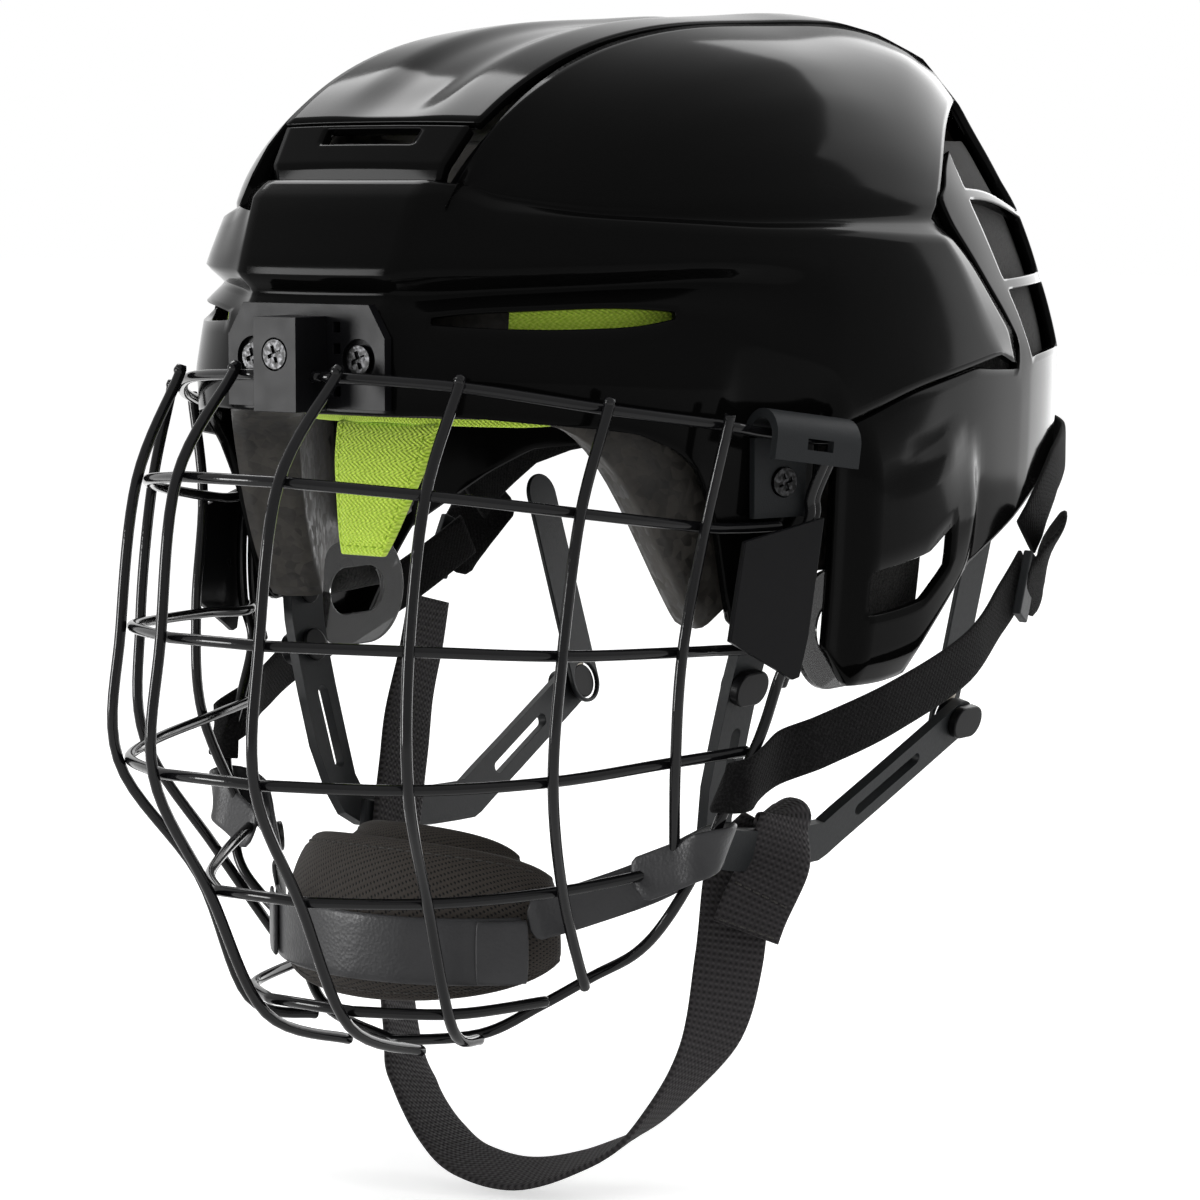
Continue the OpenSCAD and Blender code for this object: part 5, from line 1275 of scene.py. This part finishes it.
ROUTE = [cup_at(55, CUP_R + 2.2, 2), cup_at(64, CUP_R + 3, 4)] + [
    CUP_TIP + p for p in ([-17, -3, -9.5], [-8.5, 3, -4], [-2, 4.6, 0], [3.6, 3.5, 1.5], [4.6, -1, 1],
                          [1.5, -5, -0.5], [-5, -6.6, -3.5], [-13, -8.8, -7])]
route = curve(ROUTE, 8)
in_pairs("cup_side_strap", lambda name, flip: strap(name, route * flip, 11.5, 1.6, [0.3, 0.2, 0.93] * flip,
                                                    band_smooth, 3), "chin_cup", "band", "cup_strap")

# %% [markdown]
# ## Floor, world and lamps
# Three of the lamps light only glossy surfaces: they are the soft patches on the face, the spine and the back.
# The floor lies just under the strap. The world is white to the camera and in mirrors, and a softer grey to
# everything else, so black plastic keeps its depth and colours render about as they are written.

# %% Stage
FLOOR_Z, FLOOR_HALF = cad_box[0][2] - 0.002, 9
floor_mesh = bpy.data.meshes.new("floor")
corners = [(x * FLOOR_HALF, y * FLOOR_HALF, FLOOR_Z) for x, y in ((-1, -1), (1, -1), (1, 1), (-1, 1))]
floor_mesh.from_pydata(corners, [], [(0, 1, 2, 3)])
floor = placed("floor", floor_mesh)


def white_to_eye(finish, shown, plain):
    """One strength, shown, for a ray from the camera, a mirror or glass, and another, plain, for the rest."""
    camera_ray, mirror_ray, glass_ray = (finish.node("ShaderNodeLightPath", out=kind) for kind in
                                         ("Is Camera Ray", "Is Glossy Ray", "Is Transmission Ray"))
    return finish.node("ShaderNodeMapRange", None, {"Value": camera_ray.greater(mirror_ray).greater(glass_ray),
                                                    "To Min": plain, "To Max": shown})


world = bpy.data.worlds.new("studio")
bpy.context.scene.world = world
sky = Finish("sky", world, "Background", Color=(1, 1, 1, 1))
sky.put(Strength=white_to_eye(sky, 1.0, 0.5))
floor_paint = Finish("floor_white", Base_Color=paint(0.9), Roughness=0.9, Specular_IOR_Level=0,
                     Emission_Color=(1, 1, 1, 1))
floor_paint.put(Emission_Strength=white_to_eye(floor_paint, 0.56, 0.0))
floor_mesh.materials.append(floor_paint.material)

AIM = Vector((0, 0, -0.05))
LAMPS = [("top_softbox", (0.2, -0.4, 1.5), 1.6, 1.6, 20, True, False),
         ("left_softbox", (-0.95, -1.15, 0.25), 0.6, 0.9, 7, True, False),
         ("rear_softbox", (1.2, 0.9, 0.8), 0.4, 1.0, 8, True, False),
         ("face_shine", (-0.85, -1.15, -0.05), 0.4, 0.5, 18, False, True),
         ("spine_shine", (-0.8, 0.38, 1.05), 0.45, 0.7, 7, False, True),
         ("rear_shine", (0.2, 1.35, 0.4), 1.6, 1.4, 22, False, True)]
for name, place, width, height, power, lights_cloth, shows_in_gloss in LAMPS:
    lamp = bpy.data.lights.new(name, "AREA")
    lamp.shape, lamp.size, lamp.size_y, lamp.energy = "RECTANGLE", width, height, power
    holder = placed(name, lamp)
    holder.location = place
    holder.rotation_euler = (AIM - Vector(place)).to_track_quat("-Z", "Y").to_euler()
    holder.visible_diffuse, holder.visible_glossy = lights_cloth, shows_in_gloss
bpy.context.scene.view_settings.view_transform = "Standard"

# %% Update the view layer
bpy.context.view_layer.update()
